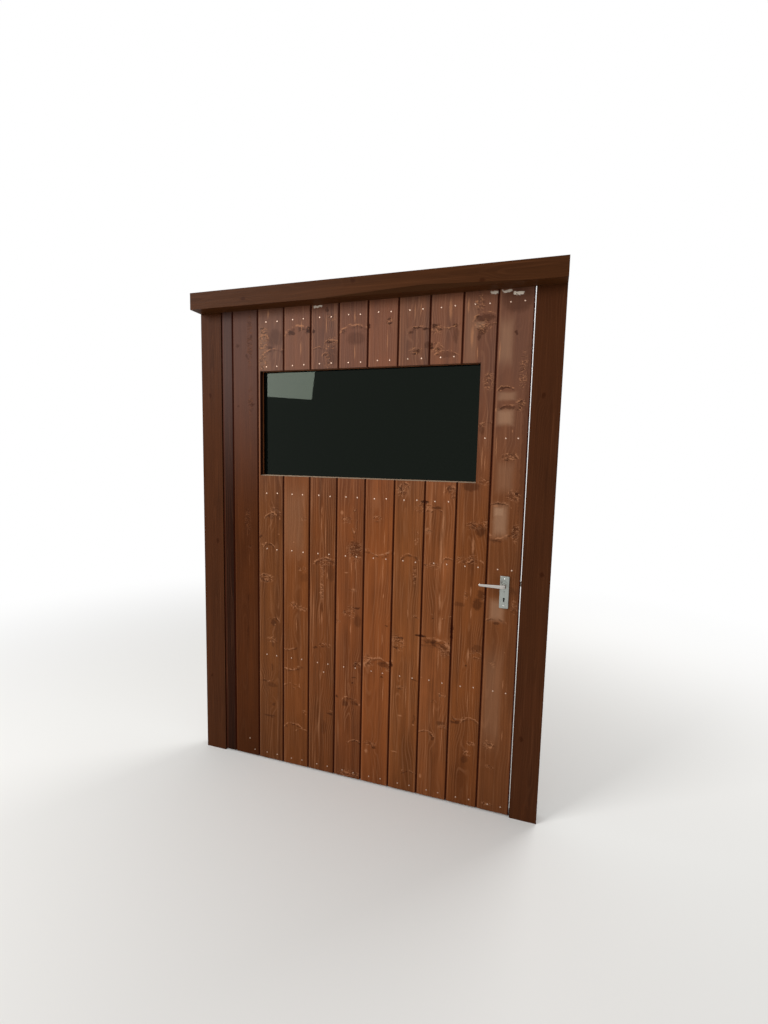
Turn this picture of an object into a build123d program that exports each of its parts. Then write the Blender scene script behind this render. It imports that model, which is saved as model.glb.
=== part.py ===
from build123d import *
import os
from math import asin, atan2, cos, degrees, hypot, sin

# Boarded barn door leaf with a fixed window, hung in a timber frame, opening inwards.
# Millimetres. +Z is up, -Y is outdoors, +X is towards the lock side.
# Below, Y is counted from the outer face of the boards; at the end every piece is moved
# so that the origin lies on the floor in the middle of the whole door.

# Boards: tongue and groove, V jointed, with one narrow ripped strip at the hinge edge
BOARD_COUNT = 10
BOARD_COVER = 146
STRIP_COVER = 62
BOARD_T = 24
BOARD_GAP = 2
V_CHAMFER = 5
RIPPED_CHAMFER = 1.5
TONGUE_T = 7
TONGUE_L = 10
TONGUE_TIP = 1.5
TONGUE_BACK = 1
TONGUE_SLACK = 0.2
TONGUE_END_GAP = 1

# Leaf and its place in the frame
FLOOR_GAP = 10
SIDE_GAP = 5
HEAD_GAP = 5
HEAD_LAP = 20
STOP_GAP = 2

# Framework behind the boards: six equal rails with clear bays between them, from the foot up
FRAMEWORK_T = 46
STILE_W = 120
RAIL_H = 120
LOW_BAY = 401
BRACED_BAY = 444
LOCK_BAY = 200
WINDOW_H = 514
HEAD_BAY = 76
TENON_L = 28
TENON_T = 14
TENON_SHOULDER = 20
TENON_SLACK = 0.2
BRACE_W = 110

# Window: each side lies in the board that comes after a number of whole ones, counted on from
# that board's left joint; its sill falls outwards through the boards
WINDOW_LEFT_COUNT = 1
WINDOW_RIGHT_COUNT = 8
WINDOW_FROM_JOINT = 14
WINDOW_PAST_JOINT = 82
SILL_FALL = 4
GLASS_SETBACK = 10
GLASS_T = 6
REBATE = 12
GLASS_PLAY = 3
GLASS_SEAT = 0.3
BEAD_T = 16
BEAD_BEVEL = 5

# Posts and head beam
POST_W = 120
POST_D = 70
BEAM_PROUD = 80
BEAM_H = 80
WANE_LEG = 20
WANE_END_LEG = 1.5
WANE_FROM = -150
WANE_PEAK = 300
WANE_TO = 740
FRAME_SCREW_R = 4
FRAME_SCREW_L = 190
FRAME_HEAD_R = 10
FRAME_HEAD_T = 3
FRAME_HEAD_SINK = 8
FRAME_SCREW_INSET = 32
FRAME_SCREW_FROM_FRONT = 20
ANCHOR_R = 5
ANCHOR_SINK_R = 11
ANCHOR_SINK = 25
ANCHOR_COUNT = 4
ANCHOR_FIRST = 300
ANCHOR_PITCH = 600

# Strap hinges and their pintles
PIN_R = 8
PIN_RUN = 0.05
STRAP_T = 6
ROLL_GAP = 0.5
STRAP_W = 45
STRAP_TIP_W = 28
STRAP_L = 900
STRAP_HOLES = 4
STRAP_FIRST_HOLE = 70
STRAP_LAST_HOLE = 35
PIN_BACK_FROM_EDGE = 10
PIN_TOP = 5
PIN_BEVEL = 1.5
BOSS_H = 30
PINTLE_PLATE_W = 70
PINTLE_PLATE_H = 110
PINTLE_PLATE_T = 6
PINTLE_PLATE_GAP = 6
PINTLE_CORNER = 6
PINTLE_HOLE_INSET_X = 16
PINTLE_HOLE_INSET_Z = 18
COACH_R = 4
COACH_L = 45
COACH_HEAD_AF = 13
COACH_HEAD_T = 5.5
SCREW_PLAY = 0.15
SCREW_TIP_PLAY = 0.5

# Lock, handle plates and levers, height counted from the foot of the leaf
BACKSET = 65
LEVER_AT = 1078
KEY_BELOW = 62
PLATE_W = 40
PLATE_ABOVE_LEVER = 39
PLATE_BELOW_KEY = 44
PLATE_T = 8
PLATE_CORNER = 4
PLATE_EDGE = 2.5
COLLAR_R = 12.5
COLLAR_H = 5
COLLAR_BEVEL = 1.5
SPARE_HOLE_R = 2
SPARE_HOLE_BELOW = 30
PLATE_SCREW_INSET = 12
PLATE_SCREW_R = 2
PLATE_SCREW_L = 20
SINK_DEPTH = 2.5
PLATE_SCREW_HEAD_R = 4
PLATE_SCREW_HEAD_H = 2
PLATE_SCREW_EDGE = 1.4
LEVER_L = 108
LEVER_STAND = 55
LEVER_T = 10
LEVER_ROOT_H = 17
LEVER_TIP_H = 11
LEVER_EDGE = 3
ELBOW_OUT_R = 15
ELBOW_IN_R = 7
NECK_R = 8.5
NECK_PLAY = 0.3
NECK_SINK = 3
SPINDLE = 8
SPINDLE_FIT = 0.05
SPINDLE_IN_LEVER = 28
KEY_R = 4.5
KEY_SLOT_W = 6
KEY_SLOT_DOWN = 15
WOOD_CLEAR = 3

CASE_T = 16
CASE_WALL = 1.5
CASE_H = 165
CASE_BEHIND = 25
CASE_PLAY = 0.3
FOREND_W = 22
FOREND_H = 235
FOREND_T = 3
FOREND_SCREW_INSET = 10
FOLLOWER_R = 10
FOLLOWER_ARM = 15.5
FOLLOWER_ARM_R = 2.5
FOLLOWER_ARM_T = 6
LATCH_T = 11
LATCH_H = 24
LATCH_OUT = 12
LATCH_HEAD_L = 30
LATCH_BEVEL = 8
LATCH_FLAT = 2
TAIL_H = 6
TAIL_HOOK_T = 4
TAIL_HOOK_DOWN = 5
HOOK_GAP = 0.3
BOLT_H = 34
BOLT_L = 52
BOLT_THROW = 18
SLIDE_PLAY = 0.2
STRIKE_W = 24
STRIKE_H = 200
STRIKE_T = 3
STRIKE_CLEAR = 1.5
STRIKE_DEEPER = 6
STRIKE_LIP_H = 40
STRIKE_SCREW_INSET = 12

# How far a cut runs past the face that it opens
PAST = 1

# Sizes and places that follow from those above
LEAF_W = STRIP_COVER + BOARD_COUNT * BOARD_COVER
LEAF_T = BOARD_T + FRAMEWORK_T
LEAF_H = 6 * RAIL_H + LOW_BAY + BRACED_BAY + LOCK_BAY + WINDOW_H + HEAD_BAY
LEFT = -LEAF_W / 2
RIGHT = LEAF_W / 2
FOOT = FLOOR_GAP
TOP = FLOOR_GAP + LEAF_H
POST_IN = RIGHT + SIDE_GAP
POST_OUT = POST_IN + POST_W
POST_FRONT = -STOP_GAP
POST_BACK = POST_FRONT + POST_D
POST_TOP = TOP + HEAD_GAP
BEAM_FOOT = TOP - HEAD_LAP
BEAM_TOP = BEAM_FOOT + BEAM_H
BEAM_FRONT = POST_FRONT - BEAM_PROUD
FIRST_JOINT = LEFT + STRIP_COVER
WIN_LEFT = FIRST_JOINT + WINDOW_LEFT_COUNT * BOARD_COVER + WINDOW_FROM_JOINT
WIN_RIGHT = FIRST_JOINT + WINDOW_RIGHT_COUNT * BOARD_COVER + WINDOW_PAST_JOINT
WIN_TOP = TOP - 2 * RAIL_H - HEAD_BAY
WIN_FOOT = WIN_TOP - WINDOW_H
STILE_IN_LEFT = LEFT + STILE_W
STILE_IN_RIGHT = RIGHT - STILE_W
GLASS_FRONT = BOARD_T + GLASS_SETBACK
EYE_R = PIN_R + PIN_RUN + STRAP_T
PIN_X = -(POST_IN + PIN_BACK_FROM_EDGE)
PIN_Y = LEAF_T + EYE_R
LOCK_X = RIGHT - BACKSET
LEVER_Z = FOOT + LEVER_AT
KEY_Z = LEVER_Z - KEY_BELOW
LOCK_MID_Z = (LEVER_Z + KEY_Z) / 2
LOCK_Y = BOARD_T + FRAMEWORK_T / 2
PLATE_TOP_Z = LEVER_Z + PLATE_ABOVE_LEVER
PLATE_FOOT_Z = KEY_Z - PLATE_BELOW_KEY
PLATE_H = PLATE_TOP_Z - PLATE_FOOT_Z
WHOLE_MID_Y = (BEAM_FRONT + LEAF_T + LEVER_STAND) / 2
RAIL_HEIGHTS = {
    "rail_bottom": FOOT + RAIL_H / 2,
    "rail_lower": FOOT + 1.5 * RAIL_H + LOW_BAY,
    "rail_middle": WIN_FOOT - 1.5 * RAIL_H - LOCK_BAY,
    "rail_window_sill": WIN_FOOT - RAIL_H / 2,
    "rail_window_head": WIN_TOP + RAIL_H / 2,
    "rail_top": TOP - RAIL_H / 2,
}
STRAP_HEIGHTS = {
    "bottom": RAIL_HEIGHTS["rail_bottom"],
    "middle": RAIL_HEIGHTS["rail_middle"],
    "top": RAIL_HEIGHTS["rail_top"],
}


def block(x0, x1, y0, y1, z0, z1):
    """A box between two values on each axis."""
    return Pos((x0 + x1) / 2, (y0 + y1) / 2, (z0 + z1) / 2) * Box(x1 - x0, y1 - y0, z1 - z0)


def rod_y(x, z, radius, y0, y1):
    """A round bar along Y."""
    return Pos(x, (y0 + y1) / 2, z) * Rot(90, 0, 0) * Cylinder(radius, y1 - y0)


def rod_x(y, z, radius, x0, x1):
    """A round bar along X."""
    return Pos((x0 + x1) / 2, y, z) * Rot(0, 90, 0) * Cylinder(radius, x1 - x0)


def rod_z(x, y, radius, z0, z1):
    """A round bar along Z."""
    return Pos(x, y, (z0 + z1) / 2) * Cylinder(radius, z1 - z0)


def plate_y(width, height, corner, x, z, y0, y1):
    """A flat plate with round corners, its thickness along Y."""
    outline = Plane.XZ * RectangleRounded(width, height, corner)
    return Pos(x, y0, z) * extrude(outline, y1 - y0, dir=(0, 1, 0))


# Boards
def board_section(left, cover, ripped_left=False, ripped_right=False):
    """Board outline seen along its length: groove at the left, tongue at the right."""
    half_gap = BOARD_GAP / 2
    x0 = left + (0 if ripped_left else half_gap)
    x1 = left + cover - (0 if ripped_right else half_gap)
    c0 = RIPPED_CHAMFER if ripped_left else V_CHAMFER
    c1 = RIPPED_CHAMFER if ripped_right else V_CHAMFER
    mid = BOARD_T / 2 + TONGUE_BACK
    points = [(x0 + c0, 0), (x1 - c1, 0), (x1, c1)]
    if not ripped_right:
        low, high = mid - TONGUE_T / 2, mid + TONGUE_T / 2
        tip = x1 + TONGUE_L
        points += [(x1, low), (tip - TONGUE_TIP, low), (tip, low + TONGUE_TIP)]
        points += [(tip, high - TONGUE_TIP), (tip - TONGUE_TIP, high), (x1, high)]
    points += [(x1, BOARD_T), (x0, BOARD_T)]
    if not ripped_left:
        low = mid - TONGUE_T / 2 - TONGUE_SLACK
        high = mid + TONGUE_T / 2 + TONGUE_SLACK
        deep = x0 + TONGUE_L - BOARD_GAP + TONGUE_END_GAP
        points += [(x0, high), (deep, high), (deep, low), (x0, low)]
    points += [(x0, c0)]
    return make_face(Polyline(*points, close=True))


def board_length(section, z0, z1):
    return Pos(0, 0, z0) * extrude(section, z1 - z0, dir=(0, 0, 1))


def window_cut():
    """The opening through the boards, with a sill that falls outwards."""
    opening = block(WIN_LEFT, WIN_RIGHT, -PAST, BOARD_T + PAST, WIN_FOOT, WIN_TOP)
    front_z = WIN_FOOT - SILL_FALL * (BOARD_T + PAST) / BOARD_T
    fall = make_face(Polyline((BOARD_T, WIN_FOOT), (-PAST, front_z), (-PAST, WIN_TOP), (BOARD_T, WIN_TOP),
                              close=True))
    return opening + Pos(WIN_LEFT, 0, 0) * extrude(Plane.YZ * fall, WIN_RIGHT - WIN_LEFT, dir=(1, 0, 0))


def boards():
    """Every board of the leaf; those that the window interrupts are notched or in two lengths."""
    pieces = {}
    strip = board_section(LEFT, STRIP_COVER, ripped_left=True)
    pieces["board_hinge_strip"] = board_length(strip, FOOT, TOP)
    window = window_cut()
    for before in range(BOARD_COUNT):
        left = FIRST_JOINT + before * BOARD_COVER
        last = before == BOARD_COUNT - 1
        section = board_section(left, BOARD_COVER, ripped_right=last)
        name = f"board_{before + 1:02d}"
        if WINDOW_LEFT_COUNT < before < WINDOW_RIGHT_COUNT:
            pieces[name + "_upper"] = board_length(section, WIN_TOP, TOP)
            pieces[name + "_lower"] = board_length(section, FOOT, WIN_FOOT) - window
            continue
        board = board_length(section, FOOT, TOP)
        if before in (WINDOW_LEFT_COUNT, WINDOW_RIGHT_COUNT):
            board -= window
        if last:
            board -= handle_bores(-PAST, BOARD_T + PAST)
            board -= plate_screw_bores()
        pieces[name] = board
    return pieces


def handle_bores(y0, y1):
    """The hole for the spindle and the slot for the key, cut clear of both through the wood."""
    spindle_hole = rod_y(LOCK_X, LEVER_Z, hypot(SPINDLE, SPINDLE) / 2 + WOOD_CLEAR, y0, y1)
    key_hole_r = KEY_R + WOOD_CLEAR
    key_slot = block(LOCK_X - key_hole_r, LOCK_X + key_hole_r, y0, y1,
                     KEY_Z - KEY_SLOT_DOWN - WOOD_CLEAR, KEY_Z)
    return spindle_hole + rod_y(LOCK_X, KEY_Z, key_hole_r, y0, y1) + key_slot


# Framework
def tenon(x0, x1, z, height):
    """A stub tenon in the middle of the framework's thickness."""
    return block(x0, x1, LOCK_Y - TENON_T / 2, LOCK_Y + TENON_T / 2,
                 z - height / 2 + TENON_SHOULDER, z + height / 2 - TENON_SHOULDER)


def mortise(x0, x1, z, height):
    """The hole for a tenon, with a little slack all round."""
    s = TENON_SLACK
    return block(x0, x1, LOCK_Y - TENON_T / 2 - s, LOCK_Y + TENON_T / 2 + s,
                 z - height / 2 + TENON_SHOULDER - s, z + height / 2 - TENON_SHOULDER + s)


def glazing_space():
    """What the rebate for the glass and its beads takes out of the four members round the window."""
    return block(WIN_LEFT - REBATE, WIN_RIGHT + REBATE, GLASS_FRONT, LEAF_T + PAST,
                 WIN_FOOT - REBATE, WIN_TOP + REBATE)


def rails():
    pieces = {}
    for name, z in RAIL_HEIGHTS.items():
        rail = block(STILE_IN_LEFT, STILE_IN_RIGHT, BOARD_T, LEAF_T, z - RAIL_H / 2, z + RAIL_H / 2)
        reach = TENON_L - TENON_SLACK
        rail += tenon(STILE_IN_LEFT - reach, STILE_IN_LEFT, z, RAIL_H)
        rail += tenon(STILE_IN_RIGHT, STILE_IN_RIGHT + reach, z, RAIL_H)
        if "window" in name:
            rail -= glazing_space()
        pieces[name] = rail - strap_bores()
    return pieces


def stiles():
    hinge = block(LEFT, STILE_IN_LEFT, BOARD_T, LEAF_T, FOOT, TOP)
    lock = block(STILE_IN_RIGHT, RIGHT, BOARD_T, LEAF_T, FOOT, TOP)
    for z in RAIL_HEIGHTS.values():
        hinge -= mortise(STILE_IN_LEFT - TENON_L, STILE_IN_LEFT + PAST, z, RAIL_H)
        lock -= mortise(STILE_IN_RIGHT - PAST, STILE_IN_RIGHT + TENON_L, z, RAIL_H)
    lock -= lock_pocket()
    lock -= handle_bores(BOARD_T - PAST, LEAF_T + PAST)
    lock -= plate_screw_bores()
    lock -= forend_screw_bores()
    low, high = RAIL_HEIGHTS["rail_window_sill"] + RAIL_H / 2, RAIL_HEIGHTS["rail_window_head"] - RAIL_H / 2
    left = block(STILE_IN_LEFT, WIN_LEFT, BOARD_T, LEAF_T, low, high)
    right = block(WIN_RIGHT, STILE_IN_RIGHT, BOARD_T, LEAF_T, low, high)
    return {
        "stile_hinge": hinge - strap_bores(),
        "stile_lock": lock,
        "stile_window_left": left - glazing_space(),
        "stile_window_right": right - glazing_space(),
    }


def braces():
    """Two lengths of one sloping brace, from the hinge side's foot up towards the lock side."""
    foot_z = RAIL_HEIGHTS["rail_bottom"] + RAIL_H / 2
    head_z = RAIL_HEIGHTS["rail_middle"] - RAIL_H / 2
    lower_rail = RAIL_HEIGHTS["rail_lower"]
    run, rise = STILE_IN_RIGHT - STILE_IN_LEFT, head_z - foot_z
    bar = Box(2 * hypot(run, rise), FRAMEWORK_T, BRACE_W)
    middle_x = (STILE_IN_LEFT + STILE_IN_RIGHT) / 2
    slope = -degrees(atan2(rise - BRACE_W, run))
    bar = Pos(middle_x, LOCK_Y, (foot_z + head_z) / 2) * Rot(0, slope, 0) * bar
    low_bay = block(STILE_IN_LEFT, STILE_IN_RIGHT, BOARD_T, LEAF_T, foot_z, lower_rail - RAIL_H / 2)
    high_bay = block(STILE_IN_LEFT, STILE_IN_RIGHT, BOARD_T, LEAF_T, lower_rail + RAIL_H / 2, head_z)
    return {"brace_lower": bar & low_bay, "brace_upper": bar & high_bay}


# Window
def glazing():
    front, back = GLASS_FRONT, GLASS_FRONT + GLASS_T
    x0, x1 = WIN_LEFT - REBATE, WIN_RIGHT + REBATE
    z0, z1 = WIN_FOOT - REBATE, WIN_TOP + REBATE
    pane = block(x0 + GLASS_PLAY, x1 - GLASS_PLAY, front, back, z0 + GLASS_SEAT, z1 - GLASS_PLAY)
    level = block(x0, x1, back, back + BEAD_T, z0, z0 + REBATE)
    level = chamfer(level.edges().filter_by(Axis.X).group_by(Axis.Y)[-1].group_by(Axis.Z)[-1], BEAD_BEVEL)
    upright = block(x0, x0 + REBATE, back, back + BEAD_T, z0 + REBATE, z1 - REBATE)
    upright = chamfer(upright.edges().filter_by(Axis.Z).group_by(Axis.Y)[-1].group_by(Axis.X)[-1], BEAD_BEVEL)
    middle = Plane((0, 0, (z0 + z1) / 2), x_dir=(1, 0, 0), z_dir=(0, 0, 1))
    centre = Plane(((x0 + x1) / 2, 0, 0), x_dir=(0, 1, 0), z_dir=(1, 0, 0))
    return {
        "glass_pane": pane,
        "bead_bottom": level,
        "bead_top": mirror(level, about=middle),
        "bead_left": upright,
        "bead_right": mirror(upright, about=centre),
    }


# Frame
def head_beam():
    """The head beam: proud in front, rebated behind so that its lip stops the leaf."""
    beam = block(-POST_OUT, POST_OUT, BEAM_FRONT, POST_BACK, BEAM_FOOT, BEAM_TOP)
    beam -= block(-POST_OUT - PAST, POST_OUT + PAST, POST_FRONT, POST_BACK + PAST, BEAM_FOOT - PAST,
                  POST_TOP)
    return beam - wane() - frame_screw_bores()


def wane():
    """The waney lower arris of the beam, widest away from its ends."""
    sections = []
    for x, leg in ((WANE_FROM, WANE_END_LEG), (WANE_PEAK, WANE_LEG), (WANE_TO, WANE_END_LEG)):
        plane = Plane((x, BEAM_FRONT, BEAM_FOOT), x_dir=(0, 1, 0), z_dir=(1, 0, 0))
        corner = Polyline((-PAST, -PAST), (leg, -PAST), (leg, 0), (0, leg), (-PAST, leg), close=True)
        sections.append(plane * make_face(corner))
    return loft(sections, ruled=True)


def frame_screw_places():
    for side in (-1, 1):
        for inset in (FRAME_SCREW_INSET, POST_W - FRAME_SCREW_INSET):
            yield side * (POST_IN + inset), POST_FRONT + FRAME_SCREW_FROM_FRONT


def frame_screws():
    head_z = BEAM_TOP - FRAME_HEAD_SINK
    screws = []
    for x, y in frame_screw_places():
        shank = rod_z(x, y, FRAME_SCREW_R, head_z - FRAME_SCREW_L, head_z)
        screws.append(shank + rod_z(x, y, FRAME_HEAD_R, head_z, head_z + FRAME_HEAD_T))
    return Compound(children=screws)


def frame_screw_bores():
    head_z = BEAM_TOP - FRAME_HEAD_SINK
    bores = []
    for x, y in frame_screw_places():
        bores.append(rod_z(x, y, FRAME_SCREW_R + SCREW_PLAY, head_z - FRAME_SCREW_L - PAST, head_z))
        bores.append(rod_z(x, y, FRAME_HEAD_R + SCREW_PLAY, head_z, BEAM_TOP + PAST))
    return bores


def anchor_bores(side):
    """Holes for the wall anchors, each with a deep sink on the side towards the leaf."""
    middle_y = (POST_FRONT + POST_BACK) / 2
    bores = []
    for number in range(ANCHOR_COUNT):
        z = ANCHOR_FIRST + number * ANCHOR_PITCH
        ends = sorted((side * (POST_IN - PAST), side * (POST_OUT + PAST)))
        sink = sorted((side * (POST_IN - PAST), side * (POST_IN + ANCHOR_SINK)))
        bores.append(rod_x(middle_y, z, ANCHOR_R, *ends))
        bores.append(rod_x(middle_y, z, ANCHOR_SINK_R, *sink))
    return bores


def posts():
    hinge = block(-POST_OUT, -POST_IN, POST_FRONT, POST_BACK, 0, POST_TOP)
    hinge = hinge - anchor_bores(-1) - frame_screw_bores() - pintle_screw_bores()
    lock = block(POST_IN, POST_OUT, POST_FRONT, POST_BACK, 0, POST_TOP)
    lock = lock - anchor_bores(1) - frame_screw_bores() - strike_pocket() - strike_screw_bores()
    return {"post_hinge_side": hinge, "post_lock_side": lock}


# Hinges
def strap(z):
    """A strap hinge: a tapered bar, its end rolled into an eye that almost closes on the bar."""
    tip_x = PIN_X + STRAP_L
    half = STRAP_W / 2
    roll_end = -asin((EYE_R - STRAP_T - ROLL_GAP) / EYE_R)
    mouth = Polyline((0, 0), (2 * EYE_R * cos(roll_end), 2 * EYE_R * sin(roll_end)),
                     (2 * EYE_R, -2 * EYE_R), (0, -2 * EYE_R), close=True)
    roll = Pos(PIN_X, PIN_Y) * (Circle(EYE_R) - make_face(mouth))
    flat = Pos((PIN_X + tip_x) / 2, LEAF_T + STRAP_T / 2) * Rectangle(STRAP_L, STRAP_T)
    bar = Pos(0, 0, z - half) * extrude(roll + flat, STRAP_W, dir=(0, 0, 1))
    bar -= rod_z(PIN_X, PIN_Y, PIN_R + PIN_RUN, z - STRAP_W, z + STRAP_W)
    tip_half = STRAP_TIP_W / 2
    start = PIN_X + EYE_R + PIN_BACK_FROM_EDGE
    far = PIN_X - EYE_R - PAST
    edge = Polyline((start, half), (far, half), (far, -half), (start, -half), (tip_x - tip_half, -tip_half))
    nose = RadiusArc((tip_x - tip_half, -tip_half), (tip_x - tip_half, tip_half), tip_half)
    close = Line((tip_x - tip_half, tip_half), (start, half))
    outline = Plane.XZ * make_face(edge + nose + close)
    taper = Pos(0, LEAF_T - PAST, z) * extrude(outline, 2 * EYE_R + 2 * PAST, dir=(0, 1, 0))
    return (bar & taper) - strap_bores()


def strap_screw_places():
    first = LEFT + STRAP_FIRST_HOLE
    last = PIN_X + STRAP_L - STRAP_LAST_HOLE
    for z in STRAP_HEIGHTS.values():
        for number in range(STRAP_HOLES):
            yield first + (last - first) * number / (STRAP_HOLES - 1), z


def strap_bores():
    seat = LEAF_T + STRAP_T
    bore = COACH_R + SCREW_PLAY
    return [rod_y(x, z, bore, seat - COACH_L - PAST, seat + PAST) for x, z in strap_screw_places()]


def coach_screw(x, z, seat):
    """A hexagon-headed wood screw, its head on the metal at the given Y."""
    shank = rod_y(x, z, COACH_R, seat - COACH_L, seat)
    head = Plane.XZ * RegularPolygon(COACH_HEAD_AF / 2, 6, major_radius=False)
    return shank + Pos(x, seat, z) * extrude(head, COACH_HEAD_T, dir=(0, 1, 0))


def strap_screws():
    seat = LEAF_T + STRAP_T
    return Compound(children=[coach_screw(x, z, seat) for x, z in strap_screw_places()])


def pintle_plate_x():
    return PIN_X - EYE_R - PINTLE_PLATE_GAP - PINTLE_PLATE_W / 2


def pintle_plate_z(z):
    return z - STRAP_W / 2 - BOSS_H + PINTLE_PLATE_H / 2


def pintle(z):
    """A pin welded into a boss, which an arm joins to a plate on the post's inner face."""
    eye_foot = z - STRAP_W / 2
    plate_x, plate_z = pintle_plate_x(), pintle_plate_z(z)
    piece = plate_y(PINTLE_PLATE_W, PINTLE_PLATE_H, PINTLE_CORNER, plate_x, plate_z,
                    POST_BACK, POST_BACK + PINTLE_PLATE_T)
    piece += block(plate_x, PIN_X, POST_BACK, PIN_Y, eye_foot - BOSS_H, eye_foot)
    piece += rod_z(PIN_X, PIN_Y, EYE_R, eye_foot - BOSS_H, eye_foot)
    pin = rod_z(PIN_X, PIN_Y, PIN_R, eye_foot - BOSS_H, z + STRAP_W / 2 + PIN_TOP)
    piece += chamfer(pin.edges().group_by(Axis.Z)[-1], PIN_BEVEL)
    return piece - pintle_screw_bores()


def pintle_screw_places():
    for z in STRAP_HEIGHTS.values():
        for up in (-1, 1):
            for across in (-1, 1):
                x = pintle_plate_x() + across * (PINTLE_PLATE_W / 2 - PINTLE_HOLE_INSET_X)
                middle = pintle_plate_z(z) + BOSS_H / 2
                yield x, middle + up * (PINTLE_PLATE_H / 2 - BOSS_H / 2 - PINTLE_HOLE_INSET_Z)


def pintle_screw_bores():
    seat = POST_BACK + PINTLE_PLATE_T
    bore = COACH_R + SCREW_PLAY
    return [rod_y(x, z, bore, seat - COACH_L - PAST, seat + PAST) for x, z in pintle_screw_places()]


def pintle_screws():
    seat = POST_BACK + PINTLE_PLATE_T
    return Compound(children=[coach_screw(x, z, seat) for x, z in pintle_screw_places()])


# Handle
def flip(piece):
    """The same piece on the other face of the leaf."""
    about = Plane((0, LEAF_T / 2, 0), x_dir=(1, 0, 0), z_dir=(0, 1, 0))
    return mirror(piece, about=about)


def keyhole(y0, y1):
    half = KEY_SLOT_W / 2
    foot_z = KEY_Z - KEY_SLOT_DOWN + half
    slot = block(LOCK_X - half, LOCK_X + half, y0, y1, foot_z, KEY_Z) + rod_y(LOCK_X, foot_z, half, y0, y1)
    return rod_y(LOCK_X, KEY_Z, KEY_R, y0, y1) + slot


def handle_plate():
    """The outer handle plate: round corners, soft front edge, collar for the lever, spare hole, keyhole."""
    middle_z = (PLATE_TOP_Z + PLATE_FOOT_Z) / 2
    plate = plate_y(PLATE_W, PLATE_H, PLATE_CORNER, LOCK_X, middle_z, -PLATE_T, 0)
    plate = fillet(plate.faces().sort_by(Axis.Y)[0].edges(), PLATE_EDGE)
    collar = rod_y(LOCK_X, LEVER_Z, COLLAR_R, -PLATE_T - COLLAR_H, -PLATE_T / 2)
    collar = chamfer(collar.edges().group_by(Axis.Y)[0], COLLAR_BEVEL)
    plate += collar
    plate -= rod_y(LOCK_X, LEVER_Z, NECK_R + NECK_PLAY, -PLATE_T - COLLAR_H - PAST, PAST)
    plate -= rod_y(LOCK_X, LEVER_Z - SPARE_HOLE_BELOW, SPARE_HOLE_R, -PLATE_T - PAST, PAST)
    return plate - keyhole(-PLATE_T - PAST, PAST) - plate_screw_bores()


def plate_screw_heights():
    return PLATE_TOP_Z - PLATE_SCREW_INSET, PLATE_FOOT_Z + PLATE_SCREW_INSET


def plate_screw_bores():
    bores = []
    for z in plate_screw_heights():
        bore = rod_y(LOCK_X, z, PLATE_SCREW_R + SCREW_PLAY, -PLATE_T - PAST, PLATE_SCREW_L - PLATE_T + PAST)
        bores += [bore, flip(bore)]
    return bores


def plate_screws():
    screws = []
    for z in plate_screw_heights():
        shank = rod_y(LOCK_X, z, PLATE_SCREW_R, -PLATE_T, PLATE_SCREW_L - PLATE_T)
        head = rod_y(LOCK_X, z, PLATE_SCREW_HEAD_R, -PLATE_T - PLATE_SCREW_HEAD_H, -PLATE_T)
        head = fillet(head.edges().group_by(Axis.Y)[0], PLATE_SCREW_EDGE)
        screw = shank + head
        screws += [screw, flip(screw)]
    return Compound(children=screws)


def lever():
    """The outer lever: a round neck that bends into a flat tapered grip pointing at the hinges."""
    front, back = -LEVER_STAND, LEVER_T - LEVER_STAND
    root, tip = LEVER_ROOT_H / 2, LEVER_TIP_H / 2
    end = tip - LEVER_L
    bend_from = back + ELBOW_IN_R
    side = Line((NECK_R, bend_from), (NECK_R, front + ELBOW_OUT_R))
    outer = RadiusArc((NECK_R, front + ELBOW_OUT_R), (NECK_R - ELBOW_OUT_R, front), ELBOW_OUT_R)
    run = Polyline((NECK_R - ELBOW_OUT_R, front), (-LEVER_L, front), (-LEVER_L, back),
                   (-NECK_R - ELBOW_IN_R, back))
    inner = RadiusArc((-NECK_R - ELBOW_IN_R, back), (-NECK_R, bend_from), -ELBOW_IN_R)
    root_line = Line((-NECK_R, bend_from), (NECK_R, bend_from))
    bent = extrude(make_face(side + outer + run + inner + root_line), 2 * root, dir=(0, 0, 1))
    bent = Pos(0, 0, -root) * bent
    top = Polyline((end, tip), (0, root), (NECK_R, root), (NECK_R, -root), (0, -root), (end, -tip))
    nose = RadiusArc((end, -tip), (end, tip), tip)
    seen = Pos(0, front, 0) * extrude(Plane.XZ * make_face(top + nose), bend_from - front, dir=(0, 1, 0))
    grip = bent & seen
    grip = fillet(grip.edges().filter_by(lambda e: bend_from - e.center().Y > PAST), LEVER_EDGE)
    grip = Pos(LOCK_X, 0, LEVER_Z) * grip
    neck = rod_y(LOCK_X, LEVER_Z, NECK_R, bend_from, -NECK_SINK)
    half = SPINDLE / 2 + SPINDLE_FIT
    socket = block(LOCK_X - half, LOCK_X + half, -NECK_SINK - SPINDLE_IN_LEVER - SPINDLE_FIT, PAST,
                   LEVER_Z - half, LEVER_Z + half)
    return grip + neck - socket


def spindle():
    half = SPINDLE / 2
    return block(LOCK_X - half, LOCK_X + half, -NECK_SINK - SPINDLE_IN_LEVER,
                 LEAF_T + NECK_SINK + SPINDLE_IN_LEVER, LEVER_Z - half, LEVER_Z + half)


# Lock
def case_box(grow=0.0):
    """The outside of the lock case behind its forend."""
    return block(LOCK_X - CASE_BEHIND - grow, RIGHT - FOREND_T, LOCK_Y - CASE_T / 2 - grow,
                 LOCK_Y + CASE_T / 2 + grow, LOCK_MID_Z - CASE_H / 2 - grow, LOCK_MID_Z + CASE_H / 2 + grow)


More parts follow.
